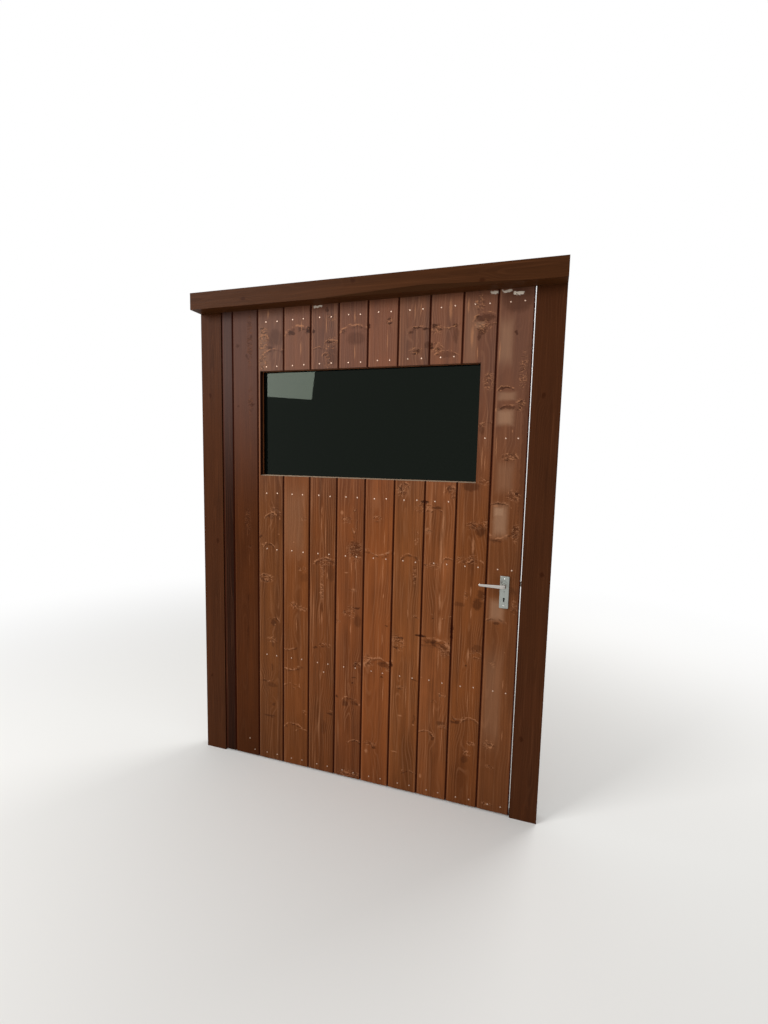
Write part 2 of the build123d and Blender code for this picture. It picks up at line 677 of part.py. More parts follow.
def forend(grow=0.0):
    return block(RIGHT - FOREND_T, RIGHT + (PAST if grow else 0), LOCK_Y - FOREND_W / 2 - grow,
                 LOCK_Y + FOREND_W / 2 + grow, LOCK_MID_Z - FOREND_H / 2 - grow,
                 LOCK_MID_Z + FOREND_H / 2 + grow)


def lock_pocket():
    """The mortise for the lock case and the recess for its forend."""
    return case_box(CASE_PLAY) + forend(CASE_PLAY)


def latch_window(x0, x1, clear):
    return block(x0, x1, LOCK_Y - LATCH_T / 2 - clear, LOCK_Y + LATCH_T / 2 + clear,
                 LEVER_Z - LATCH_H / 2 - clear, LEVER_Z + LATCH_H / 2 + clear)


def bolt_window(x0, x1, clear):
    return block(x0, x1, LOCK_Y - LATCH_T / 2 - clear, LOCK_Y + LATCH_T / 2 + clear,
                 KEY_Z - BOLT_H / 2 - clear, KEY_Z + BOLT_H / 2 + clear)


def lock_case():
    """Case and forend, hollow, with bearings for the follower, a keyhole and windows for the bolts."""
    case = case_box() + forend()
    w = CASE_WALL
    hollow = block(LOCK_X - CASE_BEHIND + w, RIGHT - FOREND_T, LOCK_Y - CASE_T / 2 + w,
                   LOCK_Y + CASE_T / 2 - w, LOCK_MID_Z - CASE_H / 2 + w, LOCK_MID_Z + CASE_H / 2 - w)
    case -= hollow
    case -= rod_y(LOCK_X, LEVER_Z, FOLLOWER_R + SPINDLE_FIT, LOCK_Y - CASE_T, LOCK_Y + CASE_T)
    case -= keyhole(LOCK_Y - CASE_T, LOCK_Y + CASE_T)
    reach = RIGHT - FOREND_T - PAST
    case -= latch_window(reach, RIGHT + PAST, SLIDE_PLAY) + bolt_window(reach, RIGHT + PAST, SLIDE_PLAY)
    return case - forend_screw_bores()


def forend_screw_heights():
    reach = FOREND_H / 2 - FOREND_SCREW_INSET
    return LOCK_MID_Z - reach, LOCK_MID_Z + reach


def wood_screw_x(z, face, way):
    """A flush countersunk wood screw along X; its head lies in the face, its shank runs the given way."""
    profile = Polyline((0, 0), (PLATE_SCREW_HEAD_R, 0), (PLATE_SCREW_R, SINK_DEPTH),
                       (PLATE_SCREW_R, PLATE_SCREW_L), (0, PLATE_SCREW_L), close=True)
    screw = revolve(Plane.XZ * make_face(profile), Axis.Z)
    return Pos(face, LOCK_Y, z) * Rot(0, 90 * way, 0) * screw


def screw_bore_x(z, face, way):
    """The hole for that screw."""
    r0, r1 = PLATE_SCREW_HEAD_R + SCREW_PLAY, PLATE_SCREW_R + SCREW_PLAY
    deep = PLATE_SCREW_L + SCREW_TIP_PLAY
    profile = Polyline((0, -PAST), (r0, -PAST), (r0, 0), (r1, SINK_DEPTH), (r1, deep), (0, deep), close=True)
    bore = revolve(Plane.XZ * make_face(profile), Axis.Z)
    return Pos(face, LOCK_Y, z) * Rot(0, 90 * way, 0) * bore


def forend_screws():
    return Compound(children=[wood_screw_x(z, RIGHT, -1) for z in forend_screw_heights()])


def forend_screw_bores():
    return [screw_bore_x(z, RIGHT, -1) for z in forend_screw_heights()]


def follower():
    """The nut that the spindle turns; its arm draws the latch bolt back."""
    hub = rod_y(LOCK_X, LEVER_Z, FOLLOWER_R, LOCK_Y - CASE_T / 2, LOCK_Y + CASE_T / 2)
    t = FOLLOWER_ARM_T / 2
    arm = block(LOCK_X - FOLLOWER_ARM_R, LOCK_X + FOLLOWER_ARM_R, LOCK_Y - t, LOCK_Y + t,
                LEVER_Z, LEVER_Z + FOLLOWER_ARM)
    arm += rod_y(LOCK_X, LEVER_Z + FOLLOWER_ARM, FOLLOWER_ARM_R, LOCK_Y - t, LOCK_Y + t)
    side = SPINDLE / 2 + SPINDLE_FIT
    square = block(LOCK_X - side, LOCK_X + side, LOCK_Y - CASE_T, LOCK_Y + CASE_T,
                   LEVER_Z - side, LEVER_Z + side)
    return hub + arm - square


def latch_bolt():
    """The bevelled latch bolt; its tail passes over the follower and hooks behind its arm."""
    nose = RIGHT + LATCH_OUT
    head = latch_window(nose - LATCH_HEAD_L, nose, 0)
    half = LATCH_T / 2
    bevel = Polyline((nose + PAST, -half - PAST), (nose + PAST, half - LATCH_FLAT), (nose, half - LATCH_FLAT),
                     (nose - LATCH_BEVEL, -half), (nose - LATCH_BEVEL, -half - PAST), close=True)
    low = LEVER_Z - LATCH_H
    head -= Pos(0, LOCK_Y, low) * extrude(make_face(bevel), 2 * LATCH_H, dir=(0, 0, 1))
    hook_x = LOCK_X - FOLLOWER_ARM_R - HOOK_GAP
    tail_z = LEVER_Z + FOLLOWER_ARM + FOLLOWER_ARM_R + HOOK_GAP
    t = FOLLOWER_ARM_T / 2
    tail = block(hook_x - TAIL_HOOK_T, nose - LATCH_HEAD_L + TAIL_H, LOCK_Y - t, LOCK_Y + t,
                 tail_z, tail_z + TAIL_H)
    riser = block(nose - LATCH_HEAD_L, nose - LATCH_HEAD_L + TAIL_H, LOCK_Y - t, LOCK_Y + t,
                  LEVER_Z, tail_z + TAIL_H)
    hook = block(hook_x - TAIL_HOOK_T, hook_x, LOCK_Y - t, LOCK_Y + t,
                 tail_z - TAIL_HOOK_DOWN, tail_z + TAIL_H)
    return head + tail + riser + hook


def dead_bolt():
    return bolt_window(RIGHT - BOLT_L, RIGHT, 0)


# Strike
def strike_space(grow=0.0):
    """The strike plate: a long plate let into the post, with a lip out to the post's inner edge."""
    plate = block(POST_IN, POST_IN + STRIKE_T, LOCK_Y - STRIKE_W / 2 - grow, LOCK_Y + STRIKE_W / 2 + grow,
                  LOCK_MID_Z - STRIKE_H / 2 - grow, LOCK_MID_Z + STRIKE_H / 2 + grow)
    lip = block(POST_IN, POST_IN + STRIKE_T, LOCK_Y, POST_BACK + grow,
                LEVER_Z - STRIKE_LIP_H / 2 - grow, LEVER_Z + STRIKE_LIP_H / 2 + grow)
    return plate + lip


def strike_plate():
    x0, x1 = POST_IN - PAST, POST_IN + STRIKE_T + PAST
    plate = strike_space() - latch_window(x0, x1, STRIKE_CLEAR) - bolt_window(x0, x1, STRIKE_CLEAR)
    return plate - strike_screw_bores()


def strike_pocket():
    x0, x1 = POST_IN - PAST, RIGHT + BOLT_THROW + STRIKE_DEEPER
    return strike_space(CASE_PLAY) + latch_window(x0, x1, STRIKE_CLEAR) + bolt_window(x0, x1, STRIKE_CLEAR)


def strike_screw_heights():
    reach = STRIKE_H / 2 - STRIKE_SCREW_INSET
    return LOCK_MID_Z - reach, LOCK_MID_Z + reach


def strike_screws():
    return Compound(children=[wood_screw_x(z, POST_IN, 1) for z in strike_screw_heights()])


def strike_screw_bores():
    return [screw_bore_x(z, POST_IN, 1) for z in strike_screw_heights()]


def build():
    """All pieces by name, with Y counted from the outer face of the boards."""
    pieces = {"head_beam": head_beam(), "frame_screws": frame_screws()}
    pieces.update(posts())
    pieces["strike_plate"] = strike_plate()
    pieces["strike_screws"] = strike_screws()
    for place, z in STRAP_HEIGHTS.items():
        pieces["pintle_" + place] = pintle(z)
        pieces["strap_" + place] = strap(z)
    pieces["pintle_screws"] = pintle_screws()
    pieces["strap_screws"] = strap_screws()
    pieces.update(boards())
    pieces.update(rails())
    pieces.update(stiles())
    pieces.update(braces())
    pieces.update(glazing())
    pieces["plate_outer"] = handle_plate()
    pieces["plate_inner"] = flip(pieces["plate_outer"])
    pieces["plate_screws"] = plate_screws()
    pieces["lever_outer"] = lever()
    pieces["lever_inner"] = flip(pieces["lever_outer"])
    pieces["spindle"] = spindle()
    pieces["lock_case"] = lock_case()
    pieces["forend_screws"] = forend_screws()
    pieces["follower"] = follower()
    pieces["latch_bolt"] = latch_bolt()
    pieces["dead_bolt"] = dead_bolt()
    return pieces


os.makedirs("parts", exist_ok=True)
for name, piece in build().items():
    export_step(Pos(0, -WHOLE_MID_Y, 0) * piece, f"parts/{name}.step")
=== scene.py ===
import math
import random

import bpy
from mathutils import Matrix, Vector


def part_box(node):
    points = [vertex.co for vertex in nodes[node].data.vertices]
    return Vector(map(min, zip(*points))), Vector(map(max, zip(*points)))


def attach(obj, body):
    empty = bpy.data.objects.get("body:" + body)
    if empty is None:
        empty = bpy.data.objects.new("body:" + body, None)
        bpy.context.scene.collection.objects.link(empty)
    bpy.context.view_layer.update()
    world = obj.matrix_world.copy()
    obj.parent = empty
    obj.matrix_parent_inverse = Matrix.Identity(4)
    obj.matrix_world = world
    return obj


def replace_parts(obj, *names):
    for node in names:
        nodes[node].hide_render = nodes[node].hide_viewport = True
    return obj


# Boarded barn door with a fixed window, its posts and its head beam, seen from outdoors.
# Metres, +Z up, -Y outdoors. Sizes named _MM are in millimetres.

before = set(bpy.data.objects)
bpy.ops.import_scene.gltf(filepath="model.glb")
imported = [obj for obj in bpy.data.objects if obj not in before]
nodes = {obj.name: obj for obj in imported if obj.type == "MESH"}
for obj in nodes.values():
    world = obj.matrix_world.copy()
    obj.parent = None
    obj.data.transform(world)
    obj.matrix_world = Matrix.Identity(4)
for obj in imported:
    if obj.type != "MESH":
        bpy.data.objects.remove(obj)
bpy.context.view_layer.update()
bpy.ops.object.select_all(action="DESELECT")

MM = 0.001
FACE_Y_MM = -21.5
FIRST_JOINT_MM = -699
BOARD_COVER_MM = 146
STRIP_COVER_MM = 62
BOARD_COUNT = 10


def left_joint_mm(number):
    """Where a board starts, seen from outdoors. Number 0 is the ripped strip at the hinges."""
    if number == 0:
        return FIRST_JOINT_MM - STRIP_COVER_MM
    return FIRST_JOINT_MM + (number - 1) * BOARD_COVER_MM


def colour(hex_value):
    """sRGB hex to the linear values that a socket takes."""
    parts = [int(hex_value[i:i + 2], 16) / 255 for i in (1, 3, 5)]
    return [p / 12.92 if p <= 0.04045 else ((p + 0.055) / 1.055) ** 2.4 for p in parts] + [1.0]


def add(tree, kind, values=(), out=0, **settings):
    """Adds a node with its settings, and its values or links by number or name. Gives one output."""
    node = tree.nodes.new("ShaderNode" + kind)
    for key, value in settings.items():
        setattr(node, key, value)
    for key, value in values.items() if isinstance(values, dict) else enumerate(values):
        if isinstance(value, bpy.types.NodeSocket):
            tree.links.new(value, node.inputs[key])
        else:
            node.inputs[key].default_value = value
    return node.outputs[out] if node.outputs else None


def new_material(name):
    """A material without nodes, and its node tree."""
    material = bpy.data.materials.new(name)
    material.use_nodes = True
    material.node_tree.nodes.clear()
    return material, material.node_tree


def dress(material, *names):
    """Puts a material on CAD nodes."""
    for name in names:
        slots = nodes[name].data.materials
        slots.clear()
        slots.append(material)


# Spruce, planed and coated with a red-brown translucent stain: rings, fibres and knots show through,
# the grain stands up a little beside the knots, and the thin film gives a weak satin gloss
STAIN_KNOT = "#2C1003"
# Painted shadow of torn grain, in the curls and in the strokes
PAINTED_SHADOW_TORN = "#2A1005"
# Pale late wood, also the colour of the painted highlights
PALE_STAIN_AND_HIGHLIGHT = "#B27B56"
STAIN_JOINT = "#40170A"
# Painted shade on the boards' sideways faces
PAINTED_SHADE_SIDES = "#28120A"
STAIN_WANE = "#38200F"
# Painted grey sheen of the sky, which also darkens the boards towards their heads
PAINTED_GREY_SHEEN = "#67504A"
# Pale lines and painted highlights of pieces painted darker as shade
STREAK_IN_PAINTED_SHADE = "#6A4027"
# Worn patches, painted pale also as sheen
WORN_PALE_AND_SHEEN = "#A98468"
BARE_SPRUCE = "#CFC2B2"
END_GRAIN_LIGHT = "#BBA48C"
END_GRAIN_DARK = "#8D745E"
# Specular level, low because the film is thin and weathered, and roughness across the fibres
SATIN_GLOSS = 0.06
DULL_GLOSS = 0.03
FILM_ROUGHNESS = (0.34, 0.5)
RELIEF = 0.6

# Noise: its size in mm across the face, into the wood and along the grain, then its detail,
# roughness, distortion and output (0 gives one value, 1 gives three)
NOISES = {
    "wander": ((170, 170, 560), 2, 0.5, 0.0, 1),  # slow curves of the trunk
    "ragged": ((26, 26, 18), 4, 0.74, 0.0, 1),  # uneven outlines of knots, strokes and flakes
    "cloud": ((80, 80, 200), 3, 0.5, 0.0, 0),  # uneven uptake of the stain
    "curl": ((24, 24, 12), 2, 0.5, 0.7, 0),  # short-grained wood torn beside knots
    "fibre": ((5, 12, 420), 4, 0.62, 0.0, 0),  # fibres, coarser than real ones so that they show
    "streak": ((8, 22, 330), 2, 0.5, 0.3, 0),  # pale and dark lines, also coarser
    "band": ((30, 60, 900), 2, 0.5, 0.0, 0),  # broad bands of early wood
}
# Any numbers do here: they give each piece its own grain
SEED_STEP = (1.9, 0.7, 2.3)
# How far the outline of a mark strays, in mm across and along the grain
FRAYED_MM = (4.5, 6)
RAGGED_MM = (13, 16)

# Growth rings of real spruce are 2 to 4 mm wide. They are drawn wider so that they show.
RING_MM = 9.0
# How far the rings stray from true circles: across, into the wood, along
STRAY_MM = (35, 30, 15)
# Height of the curve across one ring: the late wood at its end takes less stain and stands up
RING_ENDS = 0.35
RING_CURVE = ((0.14, 0.0), (0.62, 0.05), (0.86, 1.0))
RING_RELIEF = 0.25

# How dark the stain is on average, and how much bands and clouds count beside the fibres
MEAN_DARK = 0.42
BANDS, CLOUDS = 1.4, 1.1
PATTERN_MEAN = (1 + BANDS + CLOUDS) / 2
# Between which values of their noise these fade in, and how strong they get
LATE_WOOD, LATE_WOOD_STRENGTH = (0.38, 0.62), (0.02, 0.2)
PALE_LINES, PALE_LINE_STRENGTH = (0.6, 0.78), 0.45
DARK_LINES, DARK_LINE_STRENGTH = (0.38, 0.24), 0.6
BREAKS, LEFT_IN_BREAKS = (0.44, 0.58), 0.03

# Rings swell round a whole knot, twice as far along the grain. A larger knot is a stain or a group.
WHOLE_KNOT_MM = 28
SWELL_MM = 10
SWELL_ALONG = 2.2
# How far the swelling and the torn curls reach, in half widths of their mark
SWELL_REACH = (2.6, 0.4)
CURL_REACH = (1.6, 0.8)

KNOT_STRENGTH = 1.15
STRONGEST = 0.95
# Each stroke is a dark groove with a pale lip over it, the painted shadow and painted highlight of torn
# grain lit from
# above: both, in half widths from its outline, and where it ends towards the half of the outline that
# is left out
GROOVE = -0.05
LIP = 0.2
STROKE_ENDS = (-0.05, 0.35)
ROUNDED_CORNER = 0.3
MELTED_TOGETHER = 0.5

NO_MARKS = {"knots": (), "curls": (), "strokes": (), "streaks": (), "patches": (), "flakes": ()}
# What is drawn of the marks: the list that it comes from, the outline that it follows, and between
# which distances in half widths it fades in. The first two only give distances: the rings swell and
# the grain is torn by them.
DRAWN = {
    "swells": ("knots", "true", None),
    "curls": ("curls", "ragged", None),
    "knots": ("knots", "ragged", (1.1, 0.6)),
    "streaks": ("streaks", "frayed", (1.0, 0.2)),
    "patches": ("patches", "frayed", (1.5, 0.5)),
    "flakes": ("flakes", "ragged", (1.1, 0.8)),
    "groove_painted_shadow": ("strokes", "ragged", (0.26, 0.03)),
    "lip_painted_highlight": ("strokes", "ragged", (0.13, 0.01)),
}
BOX_SHAPED = ("patches", "flakes")
STROKES = ("groove_painted_shadow", "lip_painted_highlight")
ONLY_OUTDOORS = BOX_SHAPED + STROKES

# Which way a face looks, as a part of its normal: outdoors, sideways, down and out, along the grain
OUTWARDS = (0, -0.3)
SIDEWAYS = (0.8, 0.95)
DOWNWARDS = (-0.25, -0.55)
ENDWAYS = (0.75, 0.9)

# The V beside each joint, the painted highlight's place beside it, and its half width from edge to core
JOINT_EDGE_MM = 6.0
PAINTED_HIGHLIGHT_FROM_EDGE_MM = 3
PAINTED_HIGHLIGHT_MM = (3.5, 0.5)
# A painted grey sheen of the sky, which also darkens the film, lies between the first two heights, and
# painted shade below the third. Neither, nor the painted edge highlight, changes the film by more than
# this share.
PAINTED_SHEEN_MM = (1250, 2150)
PAINTED_SHADE_FOOT_MM = 450
PAINTED_LIGHT_SHARE = 0.4
IN_JOINT = 0.9
ON_WANE = 0.8


def grain_noise(tree, local, seed):
    """All noise of one piece, by its name in NOISES. The seed moves it."""
    patterns = {}
    for name, (size, detail, roughness, distortion, out) in NOISES.items():
        across, inwards, along = (seed * step for step in SEED_STEP)
        drift = (across + size[0] / 9, inwards, along + size[2] / 7)
        mapped = add(tree, "Mapping", [local, drift, (0, 0, 0), tuple(1 / s for s in size)])
        patterns[name] = add(tree, "TexNoise", {"Vector": mapped, "Scale": 1.0, "Detail": detail,
                                                "Roughness": roughness, "Distortion": distortion}, out)
    return patterns


def place_marks(tree, outlines, outdoors, marks):
    """How far it is to the nearest mark, and how strong the strongest is, each by its name in DRAWN."""
    near, fields = {}, {}
    for key, (listed, outline, fade) in DRAWN.items():
        for x, z, across, along, *strength in marks[listed]:
            if key == "swells":
                if max(across, along) > WHOLE_KNOT_MM:
                    continue
                across = max(across, along)
                along = SWELL_ALONG * across
            away = add(tree, "VectorMath", [outlines[outline], (1 / across, 0, 1 / along),
                                            (-x / across, 0, -z / along)], operation="MULTIPLY_ADD")
            if key in BOX_SHAPED:
                corner = add(tree, "VectorMath", [away], operation="ABSOLUTE")
                corner = add(tree, "SeparateXYZ", [corner]).node.outputs
                distance = add(tree, "Math", [corner["X"], corner["Z"], ROUNDED_CORNER],
                               operation="SMOOTH_MAX")
            else:
                distance = add(tree, "VectorMath", [away], "Value", operation="LENGTH")
            if fade is None:
                near[key] = distance if key not in near else add(
                    tree, "Math", [near[key], distance, MELTED_TOGETHER], operation="SMOOTH_MIN")
                continue
            if key in STROKES:
                rim = 1 + (GROOVE if key == "groove_painted_shadow" else math.copysign(LIP, along))
                distance = add(tree, "Math", [distance, rim], operation="SUBTRACT")
                distance = add(tree, "Math", [distance], operation="ABSOLUTE")
            full = min(STRONGEST, KNOT_STRENGTH * strength[0]) if strength else 1
            factor = add(tree, "MapRange", [distance, *fade, 0, full], interpolation_type="SMOOTHSTEP")
            if key in STROKES:
                # Only the half of the outline on the side of its half height's sign
                side = add(tree, "SeparateXYZ", [away], "Z")
                side = add(tree, "MapRange", [side, *STROKE_ENDS, 0, 1],
                           interpolation_type="SMOOTHSTEP")
                factor = add(tree, "Math", [factor, side], operation="MULTIPLY")
            if key in ONLY_OUTDOORS:
                factor = add(tree, "Math", [factor, outdoors], operation="MULTIPLY")
            fields[key] = factor if key not in fields else add(
                tree, "Math", [fields[key], factor], operation="MAXIMUM")
    return near, fields


def growth_rings(tree, local, strays, swells, pith, taper):
    """Height across the rings. They lie round the trunk's heart and swell round each knot."""
    heart = (-STRAY_MM[0] - pith[0], -STRAY_MM[1] + pith[1], -STRAY_MM[2])
    strays = add(tree, "VectorMath", [strays, tuple(2 * s for s in STRAY_MM), heart],
                 operation="MULTIPLY_ADD")
    moved = add(tree, "VectorMath", [local, (1, 1, taper), strays], operation="MULTIPLY_ADD")
    flat = add(tree, "VectorMath", [moved, (1, 1, 0)], operation="MULTIPLY")
    radius = add(tree, "VectorMath", [flat], "Value", operation="LENGTH")
    radius = add(tree, "Math", [radius, add(tree, "SeparateXYZ", [moved], "Z")], operation="ADD")
    if swells is not None:
        swell = add(tree, "MapRange", [swells, *SWELL_REACH, 0, SWELL_MM],
                    interpolation_type="SMOOTHSTEP")
        radius = add(tree, "Math", [radius, swell], operation="ADD")
    turns = add(tree, "Math", [radius, RING_MM], operation="DIVIDE")
    ring = add(tree, "FloatCurve", {"Value": add(tree, "Math", [turns], operation="FRACT")})
    curve = ring.node.mapping.curves[0]
    for point in curve.points:
        point.location = (point.location.x, RING_ENDS)
    for x, y in RING_CURVE:
        curve.points.new(x, y)
    ring.node.mapping.update()
    return ring


def stained_spruce(name, centre, light, dark, turn=0.0, width=0.0, seed=0, pith=(0.0, 34.0), taper=0.01,
                   streak=PALE_STAIN_AND_HIGHLIGHT, contrast=1.0, gloss=SATIN_GLOSS, marks=NO_MARKS, end_axis=2):
    """One piece's material. Local x runs across the piece and z along its grain, both in mm.
    Every mark starts with x, z, half width and half height. A knot and a patch have a strength too.
    Only a board has a width: it gets the painted sheen, shade and highlights, and stain gathers in its
    joints."""
    material, tree = new_material(name)
    where = add(tree, "TexCoord", out="Object")
    shift = -(Matrix.Rotation(turn, 3, "Y") @ Vector(centre))
    local = add(tree, "Mapping", [where, shift, (0, turn, 0), (1 / MM, 1 / MM, 1 / MM)])
    patterns = grain_noise(tree, local, seed)
    outlines = {"true": local}
    for key, (across, along) in (("frayed", FRAYED_MM), ("ragged", RAGGED_MM)):
        strayed = add(tree, "VectorMath", [patterns["ragged"], (2 * across, 0, 2 * along), local],
                      operation="MULTIPLY_ADD")
        outlines[key] = add(tree, "VectorMath", [strayed, (across, 0, along)], operation="SUBTRACT")
    normal = add(tree, "SeparateXYZ", [add(tree, "TexCoord", out="Normal")]).node.outputs
    outdoors = add(tree, "MapRange", [normal["Y"], *OUTWARDS, 0, 1])
    near, fields = place_marks(tree, outlines, outdoors, marks)
    ring = growth_rings(tree, local, patterns["wander"], near.get("swells"), pith, taper)

    # Stain soaks in unevenly: early wood and clouds go dark, late wood stays pale where it soaks least
    depth = patterns["fibre"]
    for key, amount in (("band", BANDS), ("cloud", CLOUDS)):
        depth = add(tree, "Math", [patterns[key], amount, depth], operation="MULTIPLY_ADD")
    depth = add(tree, "Math", [depth, contrast, MEAN_DARK - PATTERN_MEAN * contrast],
                operation="MULTIPLY_ADD", use_clamp=True)
    faint, strong = LATE_WOOD_STRENGTH
    late_wood = add(tree, "MapRange", [patterns["cloud"], *LATE_WOOD, faint, strong * contrast],
                    interpolation_type="SMOOTHSTEP")
    relief = add(tree, "Math", [ring, RING_RELIEF, patterns["fibre"]], operation="MULTIPLY_ADD")

    # Colours over the light tone, from the lowest layer up
    side = add(tree, "SeparateXYZ", [local]).node.outputs
    layers = [
        (depth, dark),
        (add(tree, "Math", [ring, late_wood], operation="MULTIPLY"), streak),
        (add(tree, "MapRange", [patterns["streak"], *PALE_LINES, 0, PALE_LINE_STRENGTH * contrast]),
         streak),
        (add(tree, "MapRange", [patterns["streak"], *DARK_LINES, 0, DARK_LINE_STRENGTH * contrast]),
         dark),
    ]
    if width:
        # Painted light: a grey painted sheen of the sky that also darkens the film towards the head,
        # painted shade at the foot, and a painted highlight on the planed left edge of each board
        layers += [
            # Painted grey sheen, also darkening, towards the head
            (add(tree, "MapRange", [side["Z"], *PAINTED_SHEEN_MM, 0, PAINTED_LIGHT_SHARE],
                 interpolation_type="SMOOTHSTEP"), PAINTED_GREY_SHEEN),
            # Painted shade, darker towards the foot
            (add(tree, "MapRange", [side["Z"], PAINTED_SHADE_FOOT_MM, 0, 0, PAINTED_LIGHT_SHARE]), dark),
        ]
        # Painted highlight beside the left joint of each board
        edge_highlight = JOINT_EDGE_MM + PAINTED_HIGHLIGHT_FROM_EDGE_MM - width / 2
        edge_highlight = add(tree, "Math", [side["X"], edge_highlight], operation="SUBTRACT")
        edge_highlight = add(tree, "Math", [edge_highlight], operation="ABSOLUTE")
        edge_highlight = add(tree, "MapRange", [edge_highlight, *PAINTED_HIGHLIGHT_MM, 0, PAINTED_LIGHT_SHARE])
        layers.append((add(tree, "Math", [edge_highlight, patterns["cloud"]], operation="MULTIPLY"), streak))
    # Patches worn thin and painted pale as sheen; knots
    layers += [(fields[key], over) for key, over in (("patches", WORN_PALE_AND_SHEEN), ("knots", STAIN_KNOT))
               if key in fields]
    if "curls" in near:
        # Torn grain beside a knot: pale curls that stand up, with dark dents beside them, coloured as
        # the painted highlight and painted shadow of that relief
        beside = add(tree, "MapRange", [near["curls"], *CURL_REACH, 0, 1],
                     interpolation_type="SMOOTHSTEP")
        for level, spread, over, amount, rise in ((0.42, 0.06, PAINTED_SHADOW_TORN, 0.45, -0.8),
                                                  (0.5, 0.035, streak, 0.6, 0.8)):
            curl = add(tree, "Math", [patterns["curl"], level], operation="SUBTRACT")
            curl = add(tree, "Math", [curl], operation="ABSOLUTE")
            curl = add(tree, "MapRange", [curl, spread, 0.005, 0, amount])
            curl = add(tree, "Math", [curl, beside], operation="MULTIPLY")
            layers.append((curl, over))
            relief = add(tree, "Math", [curl, rise, relief], operation="MULTIPLY_ADD")
    # The planer tears the grain in short lengths: the strokes are broken, the pale streaks are not
    broken = add(tree, "MapRange", [patterns["curl"], *BREAKS, LEFT_IN_BREAKS, 1])
    # Dark grooves are painted shadow and pale lips painted highlight; the pale streaks are grain
    for key, over, amount, rise in (("groove_painted_shadow", PAINTED_SHADOW_TORN, 0.52, -0.3), ("lip_painted_highlight", streak, 0.62, 0.3),
                                    ("streaks", streak, 0.5, 0.2)):
        if key in fields:
            factor = fields[key]
            if key in STROKES:
                factor = add(tree, "Math", [factor, broken], operation="MULTIPLY")
            relief = add(tree, "Math", [factor, rise, relief], operation="MULTIPLY_ADD")
            layers.append((add(tree, "Math", [factor, amount], operation="MULTIPLY"), over))

    if width:
        # Stain gathers in the V of each joint. The board's sideways faces, the sides of the window
        # opening among them, are painted dark as shade.
        edge = add(tree, "Math", [side["X"]], operation="ABSOLUTE")
        sideways_shade = add(tree, "Math", [normal["X"]], operation="ABSOLUTE")
        layers += [
            (add(tree, "MapRange", [edge, width / 2 - JOINT_EDGE_MM, width / 2 - JOINT_EDGE_MM / 2, 0,
                                    IN_JOINT], interpolation_type="SMOOTHSTEP"), STAIN_JOINT),
            # Painted shade on faces that look sideways
            (add(tree, "MapRange", [sideways_shade, *SIDEWAYS, 0, 1]), PAINTED_SHADE_SIDES),
        ]
    else:
        # The round side of the log, where it is left on the front lower arris, stays darker
        wane = add(tree, "Math", [normal["Y"], normal["Z"]], operation="MAXIMUM")
        layers.append((add(tree, "MapRange", [wane, *DOWNWARDS, 0, ON_WANE]), STAIN_WANE))
    if "flakes" in fields:
        layers.append((fields["flakes"], BARE_SPRUCE))
    # Sawn ends are bare wood, drawn pale only where they face up, or +X on the turned frame pieces; the
    # ends facing the other way keep the stain's colour as painted shade
    ends = add(tree, "MapRange", [normal[end_axis], *ENDWAYS, 0, 1])
    layers += [(ends, END_GRAIN_LIGHT),
               (add(tree, "Math", [ends, ring], operation="MULTIPLY"), END_GRAIN_DARK)]

    tint = colour(light)
    for factor, over in layers:
        tint = add(tree, "Mix", {0: factor, 6: tint, 7: colour(over)}, 2, data_type="RGBA")
    rough = add(tree, "MapRange", [patterns["fibre"], 0, 1, *FILM_ROUGHNESS])
    bump = add(tree, "Bump", {"Height": relief, "Strength": RELIEF, "Distance": MM})
    shader = add(tree, "BsdfPrincipled", {"Base Color": tint, "Roughness": rough, "Normal": bump,
                                          "Specular IOR Level": gloss})
    add(tree, "OutputMaterial", {"Surface": shader})
    return material
